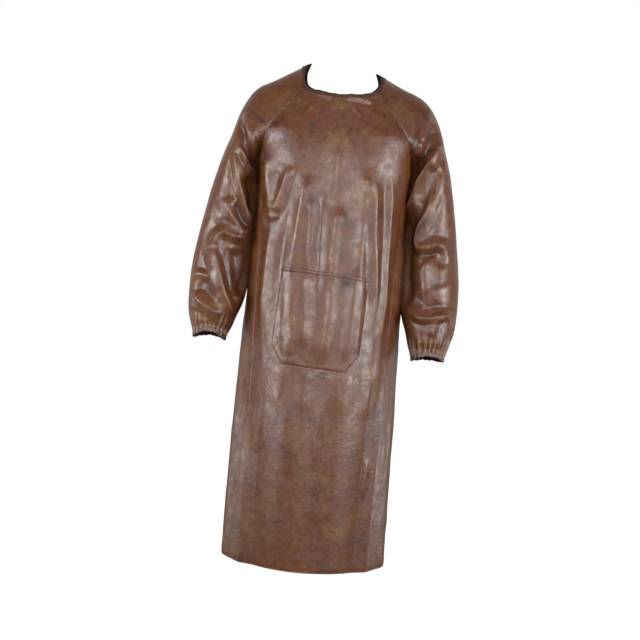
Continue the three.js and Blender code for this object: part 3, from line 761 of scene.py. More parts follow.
print("folds:", len(LEFT_SLEEVE_FOLDS), "on the left sleeve and", len(RIGHT_SLEEVE_FOLDS), "on the right")

# %% [markdown]
# ## Gathered wrists and the two sleeves
# Elastic sewn in at the wrist draws the leather into pleats that start at different heights. Each sleeve is
# laid as an open strip whose two edges meet below the armpit, and welding them closes the tube. The grid is
# finer in front, where the folds are.

# %% Gathered wrists and the two sleeves
PLEATS, PLEAT_DEPTH, PLEAT_STRENGTH = 23, 4.0, 0.72
PLEAT_SHIFTS = ((2, 1.1), (3, 0.8), (5, 0.7))  # waves round the wrist that crowd and spread the pleats
PLEAT_FADES = ((3, 0.16), (7, 0.18))  # waves that make some pleats deep and some shallow
FULL_TURN = 6.28
GATHER_FROM, GATHER_WAVES, WRIST_LEVEL = 592, ((13, 5), (7, 11)), 647  # where the pleats start and are full
ARM_FOLDS_END = (596, 640)
SLEEVE_FACE, BACK_OF_SLEEVE = (0.05, 0.45), 0.55  # folds fade at the silhouette and are shallower behind
SLEEVE_SLACK = ((0.9, 60, 2.2, 0), (0.15, 15, 1.6, 1))  # height, size, stretch, step of the seed
NO_EDGE = 60.0  # distance to a seam where the sleeve is closed and has none
RAGLAN_WELT = 0.2
FRONT_CROWD = 0.22


def pleat_wave(turn, seed):
    """Uneven waves round the wrist, from -1 to 1, for angles round the sleeve."""
    random = np.random.default_rng(seed)
    phase = PLEATS * turn
    strength = np.full(np.shape(turn), PLEAT_STRENGTH)
    for k, size in PLEAT_SHIFTS:
        phase = phase + size * np.sin(k * turn + random.uniform(0, FULL_TURN))
    for k, size in PLEAT_FADES:
        strength = strength + size * np.sin(k * turn + random.uniform(0, FULL_TURN))
    return strength * np.cos(phase)


def arm_base(arm):
    """The cut of one sleeve, as a function of row and share."""

    def base(row, share):
        section = sleeve_section(row, arm)
        point = arc_point(section, share)
        turn = np.sin(share * section[3])
        point[..., 2] += arm["arch"] * turn ** 2 * smooth(row, ARCH_START, CUFF_SEAM)
        point[..., 0] *= arm["side"]
        return point

    return base


def sleeve_height(folds, length, seed):
    """How far a sleeve stands off its cut: folds, slack, pleats and seams."""
    slack_layers = [(high, size, stretch, seed + k) for high, size, stretch, k in SLEEVE_SLACK]
    (first_swing, first_count), (second_swing, second_count) = GATHER_WAVES

    def height(here, row, share):
        angle = share * np.where(row >= ARMPIT, np.pi, sleeve_section(row)[3])
        turn = np.sin(angle)
        facing = smooth(np.abs(turn), *SLEEVE_FACE) * np.where(turn > 0, 1.0, BACK_OF_SLEEVE)
        half = length(row)
        edge = np.where(row >= ARMPIT, NO_EDGE, (1 - np.abs(share)) * half)
        u, v = turn * half / 2, -here[..., 2]
        start = GATHER_FROM + first_swing * np.sin(first_count * angle + seed)
        start = start + second_swing * np.sin(second_count * angle)
        pleats = PLEAT_DEPTH * smooth(v, start, WRIST_LEVEL) * pleat_wave(angle, seed)
        folded = facing * fold_height(folds, here[..., 0], here[..., 2]) + slack_height(slack_layers, u, v)
        folded = smooth(edge, *FOLD_EDGE) * folded * (1 - smooth(v, *ARM_FOLDS_END))
        return folded + pleats + seam_relief(edge, RAGLAN_DIP, RAGLAN_WELT)

    return height


sleeve_rows = spread_rows((0, 0.15, 5), (0.15, 5, 66), (5, 10, 130), (10, CUFF_SEAM, 40))
sleeve_columns = spread_columns(196, 0.05)
sleeve_columns = sleeve_columns + FRONT_CROWD * (1 - sleeve_columns ** 2)  # closer together in front
sleeves = {}
sleeve_surfaces = {}
for name, folds in (("left", LEFT_SLEEVE_FOLDS), ("right", RIGHT_SLEEVE_FOLDS)):
    arm = ARMS[name]
    base = arm_base(arm)
    surface = surface_of(base, sleeve_height(folds, half_length(base), arm["seed"]), arm["side"])
    grid, _ = surface(sleeve_rows[:, None], sleeve_columns[None, :])
    below = sleeve_rows >= ARMPIT
    meeting = (grid[below, 0] + grid[below, -1]) / 2
    grid[below, 0] = meeting
    grid[below, -1] = meeting
    sleeve_surfaces[name] = surface
    sleeves[name] = lay_sheet(f"{name}_sleeve_leather", grid[:, :: -arm["side"]], closed=True)
    print(f"{name} sleeve:", len(sleeves[name].data.polygons), "faces")

# %% [markdown]
# ## Cuffs
# A cuff is a casing folded round elastic: a flat tube that closes on itself. A grid rolled up in both
# directions gives such a tube, with a soft edge at the top and the bottom that a solidified strip would
# lack. The sleeve's pleats run on into it and die out, a sewn line is pressed in near its top, and its
# lower edge is uneven.

# %% Cuffs
CUFF_HEIGHT, CUFF_WALL, CUFF_LAP, CUFF_PROUD = 12.0, 2.4, 0.6, 0.6
CUFF_COLUMNS = 260
PUCKER, PUCKER_LOSS = 2.6, 1.9  # height of the pleats at the top of the cuff, and how much of it dies out
CASING_LINE, CASING_AT, CASING_WIDTH = 0.7, 0.22, 0.07  # depth, place and width of the sewn line
CASING_BULGE = 0.5  # how far the elastic stands out
EDGE_WAVE, EDGE_LAG, EDGE_SWAY, EDGE_SWAYS = 0.9, 3, 0.6, 9  # unevenness of the lower edge
BAND_POINTS, BAND_START, BAND_FLATNESS = 24, 0.75, 0.45
BAND_CREASE = math.radians(60)


def band_profile(low, high, outer, wall):
    """Points round a flat band's section: how far up, and how far out. The first lies at the inner foot."""
    turn = np.linspace(0, 2 * np.pi, BAND_POINTS + 1) - BAND_START * np.pi
    tall, deep = (np.sign(wave) * np.abs(wave) ** BAND_FLATNESS for wave in (np.sin(turn), np.cos(turn)))
    return (low + high) / 2 + (high - low) / 2 * tall, outer - wall / 2 + wall / 2 * deep


def close_band(name, edge, upward, outward, up, out):
    """Sweeps the section round a closed ring of edge points and welds the tube."""
    points = edge + upward[None] * up[..., None] + outward[None] * out[..., None]
    points = np.concatenate([points, points[:, :1]], axis=1)
    band = lay_sheet(name, points[::-1], closed=True)
    bpy.ops.object.mode_set(mode="EDIT")
    bpy.ops.mesh.select_all(action="SELECT")
    bpy.ops.mesh.normals_make_consistent(inside=False)
    bpy.ops.object.mode_set(mode="OBJECT")
    bpy.ops.object.shade_smooth_by_angle(angle=BAND_CREASE)
    return band


cuffs = {}
for name, arm in ARMS.items():
    share = np.linspace(-1, 1, CUFF_COLUMNS, endpoint=False)
    row = np.full(CUFF_COLUMNS, float(CUFF_SEAM))
    edge = arm_base(arm)(row, share)
    downward = unit(np.cross(sleeve_side(row), np.array([-1.0, 0.0, 0.0])))
    ahead = np.roll(edge, -1, axis=0) - np.roll(edge, 1, axis=0)
    outward = arm["side"] * unit(np.cross(ahead, downward))
    wave = pleat_wave(share * np.pi, arm["seed"])
    up, out = band_profile(-CUFF_HEIGHT, CUFF_LAP, CUFF_PROUD, CUFF_WALL)
    fall = np.clip(-up / CUFF_HEIGHT, 0, 1)
    sway = np.sin(EDGE_SWAYS * share * np.pi + arm["seed"])
    uneven = EDGE_WAVE * np.roll(wave, EDGE_LAG) + EDGE_SWAY * sway
    up = up[:, None] - fall[:, None] * uneven[None, :]
    pucker = (PUCKER - PUCKER_LOSS * np.sqrt(fall))[:, None] * wave[None, :]
    sewn_line = -CASING_LINE * np.exp(-(((fall - CASING_AT) / CASING_WIDTH) ** 2))
    casing = sewn_line + CASING_BULGE * np.sin(np.pi * fall)
    out = out[:, None] + pucker + np.where(out > -CUFF_WALL / 2, casing, 0)[:, None]
    cuffs[name] = close_band(f"{name}_cuff_band", edge, -downward, outward, up, out)
    print(f"{name} cuff:", len(cuffs[name].data.polygons), "faces")

# %% [markdown]
# ## Neckline
# The neck is bound with a strip folded over the raw edge. Its line runs along the front, over the left
# shoulder, along the back and over the right shoulder. The four arcs meet at corners, so the line and its
# upward direction are averaged over their neighbours, as a strip of leather would be pulled round.

# %% Neckline
NECK_STEP = 0.25  # rows below the edge at which its upward direction is read
UP_SMOOTHING, EDGE_SMOOTHING, RIM_SMOOTHING = 17, 2, 22  # neighbours on either side


def left_shoulder(row):
    """The left sleeve's section, as it hangs."""
    return sleeve_section(row, ARMS["left"])


def right_shoulder(row):
    """The right sleeve's section before it is mirrored, as it hangs."""
    return sleeve_section(row, ARMS["right"])


def averaged(ring, neighbours):
    """A closed ring of points, each replaced by the mean of its neighbours."""
    return sum(np.roll(ring, k, axis=0) for k in range(-neighbours, neighbours + 1)) / (2 * neighbours + 1)


# Section, first and last share, mirror, number of points
NECK_ARCS = (
    (front_section, -1, 1, 1, 120),
    (left_shoulder, 1, -1, 1, 56),
    (back_section, 1, -1, 1, 76),
    (right_shoulder, -1, 1, -1, 56),
)
neck_edge, neck_up = [], []
for section, first, last, mirror, steps in NECK_ARCS:
    share = first + (last - first) * (np.arange(steps) + 0.5) / steps
    top = arc_point(section(np.zeros(steps)), share)
    lower = arc_point(section(np.full(steps, NECK_STEP)), share)
    flip = np.array([mirror, 1, 1])
    neck_edge.append(top * flip)
    neck_up.append(unit(top - lower) * flip)
neck_up = unit(averaged(np.concatenate(neck_up), UP_SMOOTHING))
neck_edge = averaged(np.concatenate(neck_edge), EDGE_SMOOTHING)
neck_ahead = np.roll(neck_edge, -1, axis=0) - np.roll(neck_edge, 1, axis=0)
neck_out = -unit(np.cross(neck_up, neck_ahead))
print("neckline:", round(float(np.linalg.norm(neck_ahead, axis=1).sum() / 2)), "mm round")

# %% [markdown]
# ## Neck band
# The band is the same kind of flat tube as a cuff. Its rim is rounder than the line that it is sewn to, it
# ripples a little where the stitches pull, and it rises to a tip that leans inwards on each shoulder.

# %% Neck band
BINDING_HEIGHT, BINDING_WALL, BINDING_PROUD, BINDING_LAP = 10.6, 2.8, 0.8, 1.6
BINDING_LINE, LINE_AT, LINE_WIDTH = 0.7, 1.6, 0.8  # depth, height and width of the sewn line
TIP_LEAN, TIP_HEIGHT, TIP_AT, TIP_WIDTH = 6.0, 5.0, 8, 20
RIPPLES = ((0.7, 9, 1), (0.5, 17, 2), (0.3, 31, 0))  # height, waves round the neck, start
RIPPLE_UP = 0.5  # how much of a ripple goes upwards

around = np.linspace(0, 2 * np.pi, len(neck_edge), endpoint=False)
ripple = sum(high * np.sin(waves * around + start) for high, waves, start in RIPPLES)
up, out = band_profile(-BINDING_LAP, BINDING_HEIGHT, BINDING_PROUD, BINDING_WALL)
sewn_line = -BINDING_LINE * np.exp(-(((up - LINE_AT) / LINE_WIDTH) ** 2))
out = out + np.where(out > BINDING_PROUD - BINDING_WALL / 2, sewn_line, 0)
rise = np.clip(up / BINDING_HEIGHT, 0, 1)
tip = np.exp(-((neck_edge[:, 1] - TIP_AT) / TIP_WIDTH) ** 2)
neck_rim = averaged(neck_edge, RIM_SMOOTHING)
neck_rim[:, 0] -= TIP_LEAN * tip * np.sign(neck_rim[:, 0])
neck_rim[:, 2] += tip * (neck_edge[:, 2] - neck_rim[:, 2])
neck_band = close_band(
    "neck_band", neck_edge + rise[:, None, None] * (neck_rim - neck_edge), neck_up, neck_out,
    up[:, None] + rise[:, None] * (RIPPLE_UP * ripple + TIP_HEIGHT * tip)[None, :],
    out[:, None] + rise[:, None] * ripple[None, :],
)
print("neck band:", len(neck_band.data.polygons), "faces")

# %% [markdown]
# ## Patch pocket
# The pocket is a patch with its two lower corners cut off, sewn down on three sides and open at the top. It
# is a grid whose rows narrow at the corners, laid on the finished front so that the streaks of slack run on
# across it. The mouth stands a little off the front, and the sewn edges are pressed down on it.

# %% Pocket
POCKET_WIDTH, POCKET_HEIGHT, CORNER_WIDE, CORNER_HIGH = 203.0, 220.0, 30.0, 43.0
POCKET_X, POCKET_TOP, POCKET_TILT = -0.5, -479.0, math.radians(-3.0)
# Points on the crest, width, height, crispness, lean
POCKET_FOLDS = [
    (((-74, -480), (-68, -572), (-60, -690)), 16, 5, 7, 0.2),
    (((-84, -640), (-74, -671), (-62, -700)), 10, 1.8, 4, 0),
    (((-90, -610), (-75, -642), (-66, -676)), 10, 1.8, 4, 0.2),
    (((-46, -480), (-40, -565), (-34, -660)), 12, 4, 5, 0),
    (((14, -480), (10, -572), (4, -690)), 20, 6.5, 8, -0.2),
    (((68, -480), (62, -578), (56, -690)), 18, 5, 8, 0.2),
    (((84, -560), (84, -615), (88, -660)), 10, 2.5, 4, 0),
]
POCKET_SLACK = (0.7, 26, 1.6, 51)  # height, size, stretch, seed
SLACK_EDGE, POCKET_FOLD_EDGE = (2, 14), (0, 16)  # distances from the sewn edge between which they come in
DEEPEST = -0.6  # the patch lies on the front, so its hollows are shallow
POCKET_GAP, POCKET_STAND, STAND_REACH = 0.15, 0.9, 9
MOUTH_GAPE, GAPE_REACH = 2.6, 30
# How far inside the edge each line of stitches lies, how deep it is pressed in and how wide
SEWN_LINE, MOUTH_LINE, HEM_LINE = (2.6, 0.55, 0.9), (2.4, 0.55, 0.9), (9.5, 0.6, 1.0)
LEVEL_STEPS = 800
row_steps = np.linspace(ARMPIT, HEM, LEVEL_STEPS)
row_levels = -front_crown(row_steps)[:, 2]


def front_place(x, z):
    """Row and share of the front panel behind a point of the front view."""
    row = np.interp(-z, row_levels, row_steps)
    _, _, side, spread = front_section(row)
    return row, np.arcsin(np.clip(x / side[..., 0], -1, 1)) / spread


def pocket_place(across, drop):
    """Front view of a point of the pocket, given from the middle of its top edge."""
    x = POCKET_X + across * math.cos(POCKET_TILT) + drop * math.sin(POCKET_TILT)
    z = POCKET_TOP + across * math.sin(POCKET_TILT) - drop * math.cos(POCKET_TILT)
    return x, z


def pocket_edge(across, drop):
    """Distance to the sewn edges of the pocket, and to its open top."""
    corner = math.hypot(CORNER_WIDE, CORNER_HIGH)
    cut = (POCKET_WIDTH / 2 - np.abs(across)) * CORNER_HIGH
    cut = (cut + (POCKET_HEIGHT - drop) * CORNER_WIDE - CORNER_WIDE * CORNER_HIGH) / corner
    return np.minimum(np.minimum(POCKET_WIDTH / 2 - np.abs(across), POCKET_HEIGHT - drop), cut), drop


def pocket_points(across, drop, lift=0.0):
    """Points and outward directions of the pocket, laid on the finished front."""
    x, z = pocket_place(across, drop)
    row, share = front_place(x, z)
    sewn, mouth = pocket_edge(across, drop)
    stand = LEATHER_THICKNESS + POCKET_GAP + POCKET_STAND * smooth(sewn, 0, STAND_REACH)
    gape = MOUTH_GAPE * (1 - smooth(mouth, 0, GAPE_REACH)) * (1 - (across / (POCKET_WIDTH / 2)) ** 2)
    folds = smooth(sewn, *POCKET_FOLD_EDGE) * np.maximum(fold_height(POCKET_FOLDS, x, z), DEEPEST)
    high, *hills = POCKET_SLACK
    slack = high * smooth(sewn, *SLACK_EDGE) * np.maximum(drift(x, -z, *hills), DEEPEST)
    lines = sum(
        -depth * np.exp(-(((inside - at) / width) ** 2))
        for inside, (at, depth, width) in ((sewn, SEWN_LINE), (mouth, MOUTH_LINE), (mouth, HEM_LINE))
    )
    return front_surface(row, share, stand + gape + folds + slack + lines + lift)


pocket_across = spread_columns(104, 0.08)
corner_drop = POCKET_HEIGHT - CORNER_HIGH
foot_drop = POCKET_HEIGHT - 8  # rows are closer together below it, and along the mouth
pocket_drops = spread_rows(
    (0, 13, 14), (13, corner_drop, 62), (corner_drop, foot_drop, 18), (foot_drop, POCKET_HEIGHT, 8),
)
narrowing = CORNER_WIDE * np.clip((pocket_drops - corner_drop) / CORNER_HIGH, 0, 1)
across = (POCKET_WIDTH / 2 - narrowing)[:, None] * pocket_across[None, :]
pocket_grid, _ = pocket_points(across, np.broadcast_to(pocket_drops[:, None], across.shape))
pocket_leather = lay_sheet("pocket_leather", pocket_grid)
print("pocket:", len(pocket_leather.data.polygons), "faces")

# %% [markdown]
# ## One stitch
# Every seam is top-stitched with waxed thread. One stitch is a small capsule: a sphere of a few faces,
# pulled long. It is copied along each seam at the machine's stitch length, and each seam's stitches are one
# mesh.

# %% One stitch
STITCH_PITCH, STITCH_LENGTH, THREAD_RADIUS = 4.0, 3.1, 0.42
STITCH_LOOK = 0.8  # how far before and after a stitch its direction is read
bpy.ops.object.select_all(action="DESELECT")
bpy.ops.mesh.primitive_uv_sphere_add(segments=6, ring_count=5, radius=1)
bpy.ops.transform.resize(value=(STITCH_LENGTH / 2, THREAD_RADIUS, THREAD_RADIUS))
bpy.ops.object.transform_apply(location=False, rotation=False, scale=True)
stitch = bpy.context.object
stitch_points = np.array([vertex.co for vertex in stitch.data.vertices])
stitch_faces = [tuple(face.vertices) for face in stitch.data.polygons]
bpy.data.objects.remove(stitch)


def even_steps(points, outs, pitch):
    """Points, directions and outward directions at even steps along a path."""
    lengths = np.concatenate([[0], np.cumsum(np.linalg.norm(np.diff(points, axis=0), axis=1))])
    marks = np.arange(pitch / 2, lengths[-1], pitch)

    def read(values, at):
        return np.stack([np.interp(at, lengths, values[:, k]) for k in range(3)], -1)

    ahead = unit(read(points, marks + STITCH_LOOK) - read(points, marks - STITCH_LOOK))
    return read(points, marks), ahead, unit(read(outs, marks))


def sew(name, runs):
    """One mesh of stitches along several runs, each a path with its outward directions."""
    points, faces = [], []
    for path, outs in runs:
        for spot, ahead, out in zip(*even_steps(path, outs, STITCH_PITCH)):
            beside = np.cross(out, ahead)
            first = len(points) * len(stitch_points)
            points.append(spot + stitch_points @ np.stack([ahead, beside, out]))
            faces.extend(tuple(first + k for k in face) for face in stitch_faces)
    mesh = bpy.data.meshes.new(name)
    mesh.from_pydata((np.concatenate(points) * MM).tolist(), [], faces)
    thread = bpy.data.objects.new(name, mesh)
    bpy.context.scene.collection.objects.link(thread)
    thread.data.polygons.foreach_set("use_smooth", [True] * len(faces))
    print(f"{name}: {len(points)} stitches")
    return thread


print("a stitch has", len(stitch_faces), "faces")

# %% [markdown]
# ## Sewn seams
# The raglan seams carry two lines of stitches on the sleeve's side, one in the seam and one on the welt.
# The pocket is sewn along its outline, has two lines along its mouth, and its corners are held by bar
# tacks, which are small boxes of stitches. One line holds the neck band.

# %% Sewn seams
RAGLAN_ROWS = np.linspace(0.12, 4.9, 240)
RAGLAN_LINES = ((0.6, 0.3), (6.5, 0.1))  # distance from the sleeve's edge, and lift off the leather
LINE_LIFT, TACK_LIFT, NECK_LIFT = 0.12, 0.5, 0.25
MOUTH_INSET, MOUTH_POINTS = 4, 200  # stitches along the mouth stop short of the sides
FOOT_SHARE = 0.55  # how far the corners of the sewn outline move in along the bottom
OUTLINE_STEPS, TACK_STEPS = 60, 12
# Two sides, top and foot of each bar tack, from the middle of the mouth
BAR_TACKS = ((-97, -75, 3, 10), (-95, -77, 5, 8), (82, 95, 3, 14))

raglan_runs = []
for name, arm in ARMS.items():
    half = half_length(arm_base(arm))
    for end in (1, -1):
        for inset, lift in RAGLAN_LINES:
            share = end * (1 - inset / half(RAGLAN_ROWS))
            raglan_runs.append(sleeve_surfaces[name](RAGLAN_ROWS, share, lift))
raglan_thread = sew("raglan_stitches", raglan_runs)


def legs_between(corners, steps):
    """Points along straight legs between corners of the pocket, without the last corner."""
    corners = np.array(corners, float)
    shares = np.linspace(0, 1, steps, endpoint=False)[:, None]
    return np.concatenate([a + (b - a) * shares for a, b in zip(corners[:-1], corners[1:])])


def outline_run(inset):
    """The sewn sides and bottom of the pocket, a little inside its edge."""
    wide, high = POCKET_WIDTH / 2 - inset, POCKET_HEIGHT - inset
    low = corner_drop - inset * math.tan(math.atan2(CORNER_WIDE, CORNER_HIGH) / 2)
    foot = POCKET_WIDTH / 2 - CORNER_WIDE - inset * FOOT_SHARE
    half = [(-wide, MOUTH_INSET), (-wide, low), (-foot, high)]
    corners = half + [(-across, drop) for across, drop in half[::-1]]
    path = np.concatenate([legs_between(corners, OUTLINE_STEPS), corners[-1:]])
    return pocket_points(path[:, 0], path[:, 1], LINE_LIFT)


def mouth_run(drop):
    """A line of stitches along the mouth of the pocket."""
    reach = POCKET_WIDTH / 2 - MOUTH_INSET
    return pocket_points(np.linspace(-reach, reach, MOUTH_POINTS), np.full(MOUTH_POINTS, drop), LINE_LIFT)


def tack_run(first, last, top, foot):
    """A bar tack: a small box of stitches at a corner of the mouth."""
    corners = [(first, top), (last, top), (last, foot), (first, foot), (first, top)]
    path = legs_between(corners, TACK_STEPS)
    return pocket_points(path[:, 0], path[:, 1], TACK_LIFT)


pocket_thread = sew(
    "pocket_stitches",
    [outline_run(SEWN_LINE[0]), mouth_run(MOUTH_LINE[0]), mouth_run(HEM_LINE[0])]
    + [tack_run(*tack) for tack in BAR_TACKS],
)
neck_line = neck_edge + neck_out * NECK_LIFT + neck_up * LINE_AT
neck_run = [np.concatenate([ring, ring[:1]]) for ring in (neck_line, neck_out)]
neck_thread = sew("neck_stitches", [neck_run])

# %% [markdown]
# ## Leather
# The cloth is a knit with a thick polyurethane coat, embossed with leather grain and wiped with brown wax,
# so the colour is cloudy: redder here, more olive there. Clouds come from noise a few centimetres wide,
# the wax from finer noise, and the embossed grain from cells. Ridges are painted paler and greyer as a
# painted highlight, and hollows darker as painted shade. The coat shines in broad soft streaks, which fine
# creases and unevenly polished patches break up.

# %% Coated leather
# Sizes in metres
CLOUD_SIZE, WAX_SIZE, POLISH_SIZE, CREASE_SIZE = 0.055, 0.011, 0.020, 0.009
GRAIN_SIZE = 0.0024  # real pebbles are about 1 mm; drawn coarser so that they show
GRAIN_DEPTH, CREASE_DEPTH, CREASE_STRENGTH = 0.0004, 0.0014, 0.5
SHADE_STOPS = (0.30, 0.44, 0.54, 0.70)  # where in the clouds the four shades lie
NOISE_RANGE = (0.3, 0.7)  # values that noise mostly stays between
WAX_RANGE = (0.80, 1.20)  # brightness
POINTED_RANGE = (0.46, 0.56)  # how pointed the surface is in a fold's ditch and on its crest
PAINTED_LIGHT_RANGE = (0.62, 1.7)  # brightness: painted shade in hollows and painted highlight on ridges
PAINTED_GREY_FROM, PAINTED_HIGHLIGHT_SATURATION = 1.16, 0.7  # painted highlight from which colour turns greyer, and the saturation left on a ridge
COAT_IOR, MATT_IOR = 1.58, 1.4


def noise(material, place, size, **sockets):
    """Noise with features of about the given size, in metres."""
    sockets = {"Scale": 1 / size, **sockets}
    return add_node(material, "ShaderNodeTexNoise", sockets=sockets, links={"Vector": place}).outputs["Fac"]


def coated_leather(name, shades, gloss, grain, shine=COAT_IOR):
    """Coated leather cloth from its dark, red, middle and olive browns and its range of roughness."""
    leather, shader = new_material(name)
    place = add_node(leather, "ShaderNodeTexCoord").outputs["Object"]
    clouds = noise(leather, place, CLOUD_SIZE, Detail=4.0, Roughness=0.6, Distortion=0.6)
    ramp = add_node(leather, "ShaderNodeValToRGB", links={"Fac": clouds})
    stops = ramp.color_ramp.elements
    for shade, at in zip(shades[1:-1], SHADE_STOPS[1:-1]):
        stops.new(at).color = linear(shade)
    for end in (0, -1):
        stops[end].position, stops[end].color = SHADE_STOPS[end], linear(shades[end])
    wax = noise(leather, place, WAX_SIZE, Detail=3.0, Roughness=0.65)
    wiped = ranged(leather, wax, NOISE_RANGE, WAX_RANGE)
    # Painted light: how pointed the surface is paints fold ridges paler and greyer as a highlight, and
    # hollows darker as shade
    pointed = add_node(leather, "ShaderNodeNewGeometry").outputs["Pointiness"]
    crest = ranged(leather, pointed, POINTED_RANGE, PAINTED_LIGHT_RANGE)
    saturation_with_painted_highlight = ranged(leather, crest, (PAINTED_GREY_FROM, PAINTED_LIGHT_RANGE[1]), (1.0, PAINTED_HIGHLIGHT_SATURATION))
    wax_and_painted_light = add_node(
        leather, "ShaderNodeMath",
        settings={"operation": "MULTIPLY"},
        links={0: wiped, 1: crest},
    )
    shade = add_node(
        leather, "ShaderNodeHueSaturation",
        links={"Color": ramp.outputs["Color"], "Value": wax_and_painted_light.outputs["Value"], "Saturation": saturation_with_painted_highlight},
    )
    leather.node_tree.links.new(shade.outputs["Color"], shader.inputs["Base Color"])
    rubbed = noise(leather, place, POLISH_SIZE, Detail=2.0)
    polish = ranged(leather, rubbed, NOISE_RANGE, gloss)
    leather.node_tree.links.new(polish, shader.inputs["Roughness"])
    pebbles = add_node(
        leather, "ShaderNodeTexVoronoi",
        settings={"feature": "SMOOTH_F1"},
        sockets={"Scale": 1 / GRAIN_SIZE, "Smoothness": 0.4},
        links={"Vector": place},
    )
    emboss = add_node(
        leather, "ShaderNodeBump",
        sockets={"Strength": grain, "Distance": GRAIN_DEPTH},
        links={"Height": pebbles.outputs["Distance"]},
    )
    creases = noise(leather, place, CREASE_SIZE, Detail=4.0, Roughness=0.6)
    creased = add_node(
        leather, "ShaderNodeBump",
        sockets={"Strength": CREASE_STRENGTH, "Distance": CREASE_DEPTH},
        links={"Height": creases, "Normal": emboss.outputs["Normal"]},
    )
    leather.node_tree.links.new(creased.outputs["Normal"], shader.inputs["Normal"])
    shader.inputs["IOR"].default_value = shine
    return leather


PANEL_SHADES = ("#3A1F0F", "#502815", "#502C12", "#5A3815")
TRIM_SHADES = ("#311A0E", "#432315", "#432613", "#4C2F17")
panel_leather = coated_leather("coated_leather_cloth", PANEL_SHADES, gloss=(0.29, 0.51), grain=0.4)
trim_leather = coated_leather("folded_leather_trim", TRIM_SHADES, gloss=(0.38, 0.52), grain=0.3)
binding_leather = coated_leather("matt_leather_binding", TRIM_SHADES, (0.6, 0.75), 0.3, MATT_IOR)
print("leathers:", panel_leather.name, trim_leather.name, binding_leather.name)

# %% [markdown]
# ## Backing, thread and edge
# The inside is a dark knit, seen as fine rows of loops. The thread is waxed polyester, so it is dark and a
# little shiny, with a twist that only shows as a change of shade. The cut edge of the neck is burnished:
# dark and dull. The same near-black on the band's turned-in side is painted shade.

# %% Backing, thread and edge
KNIT_SIZE = 0.0016  # metres, about half the way from one row of loops to the next
TWIST_SIZE = 1 / 900  # metres, about one turn of the thread


def two_tone(material, shader, value, dark, light):
    """Colours a material between two shades."""
    ramp = add_node(material, "ShaderNodeValToRGB", links={"Fac": value})
    for stop, shade in zip(ramp.color_ramp.elements, (dark, light)):
        stop.color = linear(shade)
    material.node_tree.links.new(ramp.outputs["Color"], shader.inputs["Base Color"])


backing, backing_shader = new_material("dark_knit_backing")
courses = add_node(
    backing, "ShaderNodeTexWave",
    settings={"bands_direction": "Y"},
    sockets={"Scale": 1 / KNIT_SIZE / FULL_TURN, "Distortion": 1.5, "Detail": 1.0},
    links={"Vector": add_node(backing, "ShaderNodeTexCoord").outputs["UV"]},
)
two_tone(backing, backing_shader, courses.outputs["Fac"], "#120D0B", "#2A211C")
backing_shader.inputs["Roughness"].default_value = 0.9

thread_finish, thread_shader = new_material("waxed_polyester_thread")
thread_place = add_node(thread_finish, "ShaderNodeTexCoord").outputs["Object"]
twist = noise(thread_finish, thread_place, TWIST_SIZE, Detail=1.0)
two_tone(thread_finish, thread_shader, twist, "#1E120C", "#38241A")
thread_shader.inputs["Roughness"].default_value = 0.5

# Near-black finish for the band's cut edge, also used as painted shade on its inside
dark_edge_and_shade_paint, dark_edge_and_shade_shader = new_material("dark_edge_and_painted_shade")
dark_edge_and_shade_shader.inputs["Base Color"].default_value = linear("#0D0907")
dark_edge_and_shade_shader.inputs["Roughness"].default_value = 0.8
dark_edge_and_shade_shader.inputs["Specular IOR Level"].default_value = 0.15
print("trims:", backing.name, thread_finish.name, dark_edge_and_shade_paint.name)

# %% [markdown]
# ## Dress the pieces
# Every panel gets its thickness now, with the coated side out and the knit inside. Cuffs, binding and
# thread are the trim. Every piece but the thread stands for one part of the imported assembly. All of
# them ride on its root, since the apron hangs still.

# %% Dress the pieces
for piece, node in (
    (front_leather, "front_panel"),
    (back_leather, "back_panel"),
    (sleeves["left"], "left_sleeve"),
    (sleeves["right"], "right_sleeve"),
    (pocket_leather, "pocket"),
):
    piece.data.materials.append(panel_leather)
    piece.data.materials.append(backing)
    bpy.ops.object.select_all(action="DESELECT")
    thicken(piece, LEATHER_THICKNESS)
    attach(piece, "root")
    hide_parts(node)
for piece, node, finish in (
    (cuffs["left"], "left_cuff", trim_leather),
    (cuffs["right"], "right_cuff", trim_leather),
    (neck_band, "neck_binding", binding_leather),
):
    piece.data.materials.append(finish)
    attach(piece, "root")
    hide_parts(node)
for piece in (raglan_thread, pocket_thread, neck_thread):
    piece.data.materials.append(thread_finish)
    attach(piece, "root")
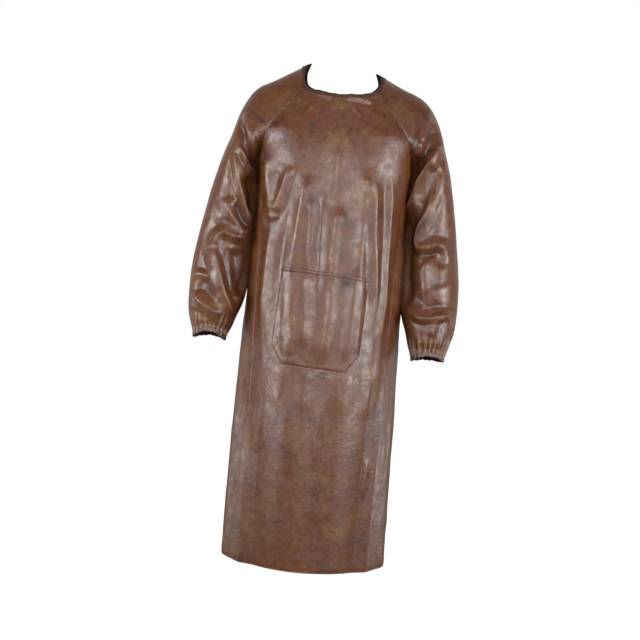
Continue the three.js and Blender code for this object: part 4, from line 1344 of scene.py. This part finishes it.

# %% [markdown]
# ## Dark rim
# The top of the band is burnished nearly black. This dark cut edge also serves as painted shade along the
# neckline, and the turned-in side behind it is painted near black as shade. The band's faces lie in rows
# round its section, so whole rows can take this near-black: the inner ones and the topmost ones. At the sides
# the rim turns towards the eye and the dark strip starts a little lower.

# %% Dark rim
RIM_FROM, SIDE_RIM = 9.4, 1.0  # height of the dark rim, and how much lower it starts at the sides
neck_band.data.materials.append(dark_edge_and_shade_paint)
faces = neck_band.data.polygons
centres = np.empty(len(faces) * 3, np.float32)
faces.foreach_get("center", centres)
neck_middles = (neck_edge + np.roll(neck_edge, -1, axis=0)) / 2
beside = centres.reshape(-1, len(neck_edge), 3) / MM - neck_middles
heights = (beside * neck_up).sum(-1).mean(1)
depths = (beside * neck_out).sum(-1).mean(1)
rim_from = RIM_FROM - SIDE_RIM * neck_out[:, 0] ** 2
# Painted shade: the inner rows and the topmost rows of the band take the near-black finish
dark = (heights[:, None] > rim_from) | (depths < depths.mean())[:, None]
faces.foreach_set("material_index", dark.ravel().astype(np.int32))
print("dark rim:", int(dark.sum()), "of", len(faces), "faces")

# %% [markdown]
# ## Cuts of cloth
# The panels and the pocket are flat cuts of coated cloth. A cut is as wide as the panel is round at its
# widest, and as long as its longest line downwards, both without folds. Its area is less than that
# rectangle, since the neckline, the raglan and the taper to the wrist are cut away.

# %% Cuts of cloth
CUT_SHARES = np.linspace(-1, 1, 121)


def cut_of(base, rows):
    """Width, length and area of a panel's cut, in metres, from its surface without folds."""
    points = base(*np.meshgrid(rows, CUT_SHARES, indexing="ij")) * MM
    width = np.linalg.norm(np.diff(points, axis=1), axis=-1).sum(1).max()
    length = np.linalg.norm(np.diff(points, axis=0), axis=-1).sum(0).max()
    first, second = points[1:, 1:] - points[:-1, :-1], points[1:, :-1] - points[:-1, 1:]
    area = np.linalg.norm(np.cross(first, second), axis=-1).sum() / 2
    return round(float(width), 3), round(float(length), 3), round(float(area), 4)


front_cut, back_cut = cut_of(front_base, front_rows), cut_of(back_base, back_rows)
print("front cut:", front_cut, "back cut:", back_cut)
for name in ("left", "right"):
    sleeve_cut = cut_of(arm_base(ARMS[name]), sleeve_rows)
    print(name, "sleeve cut:", sleeve_cut)
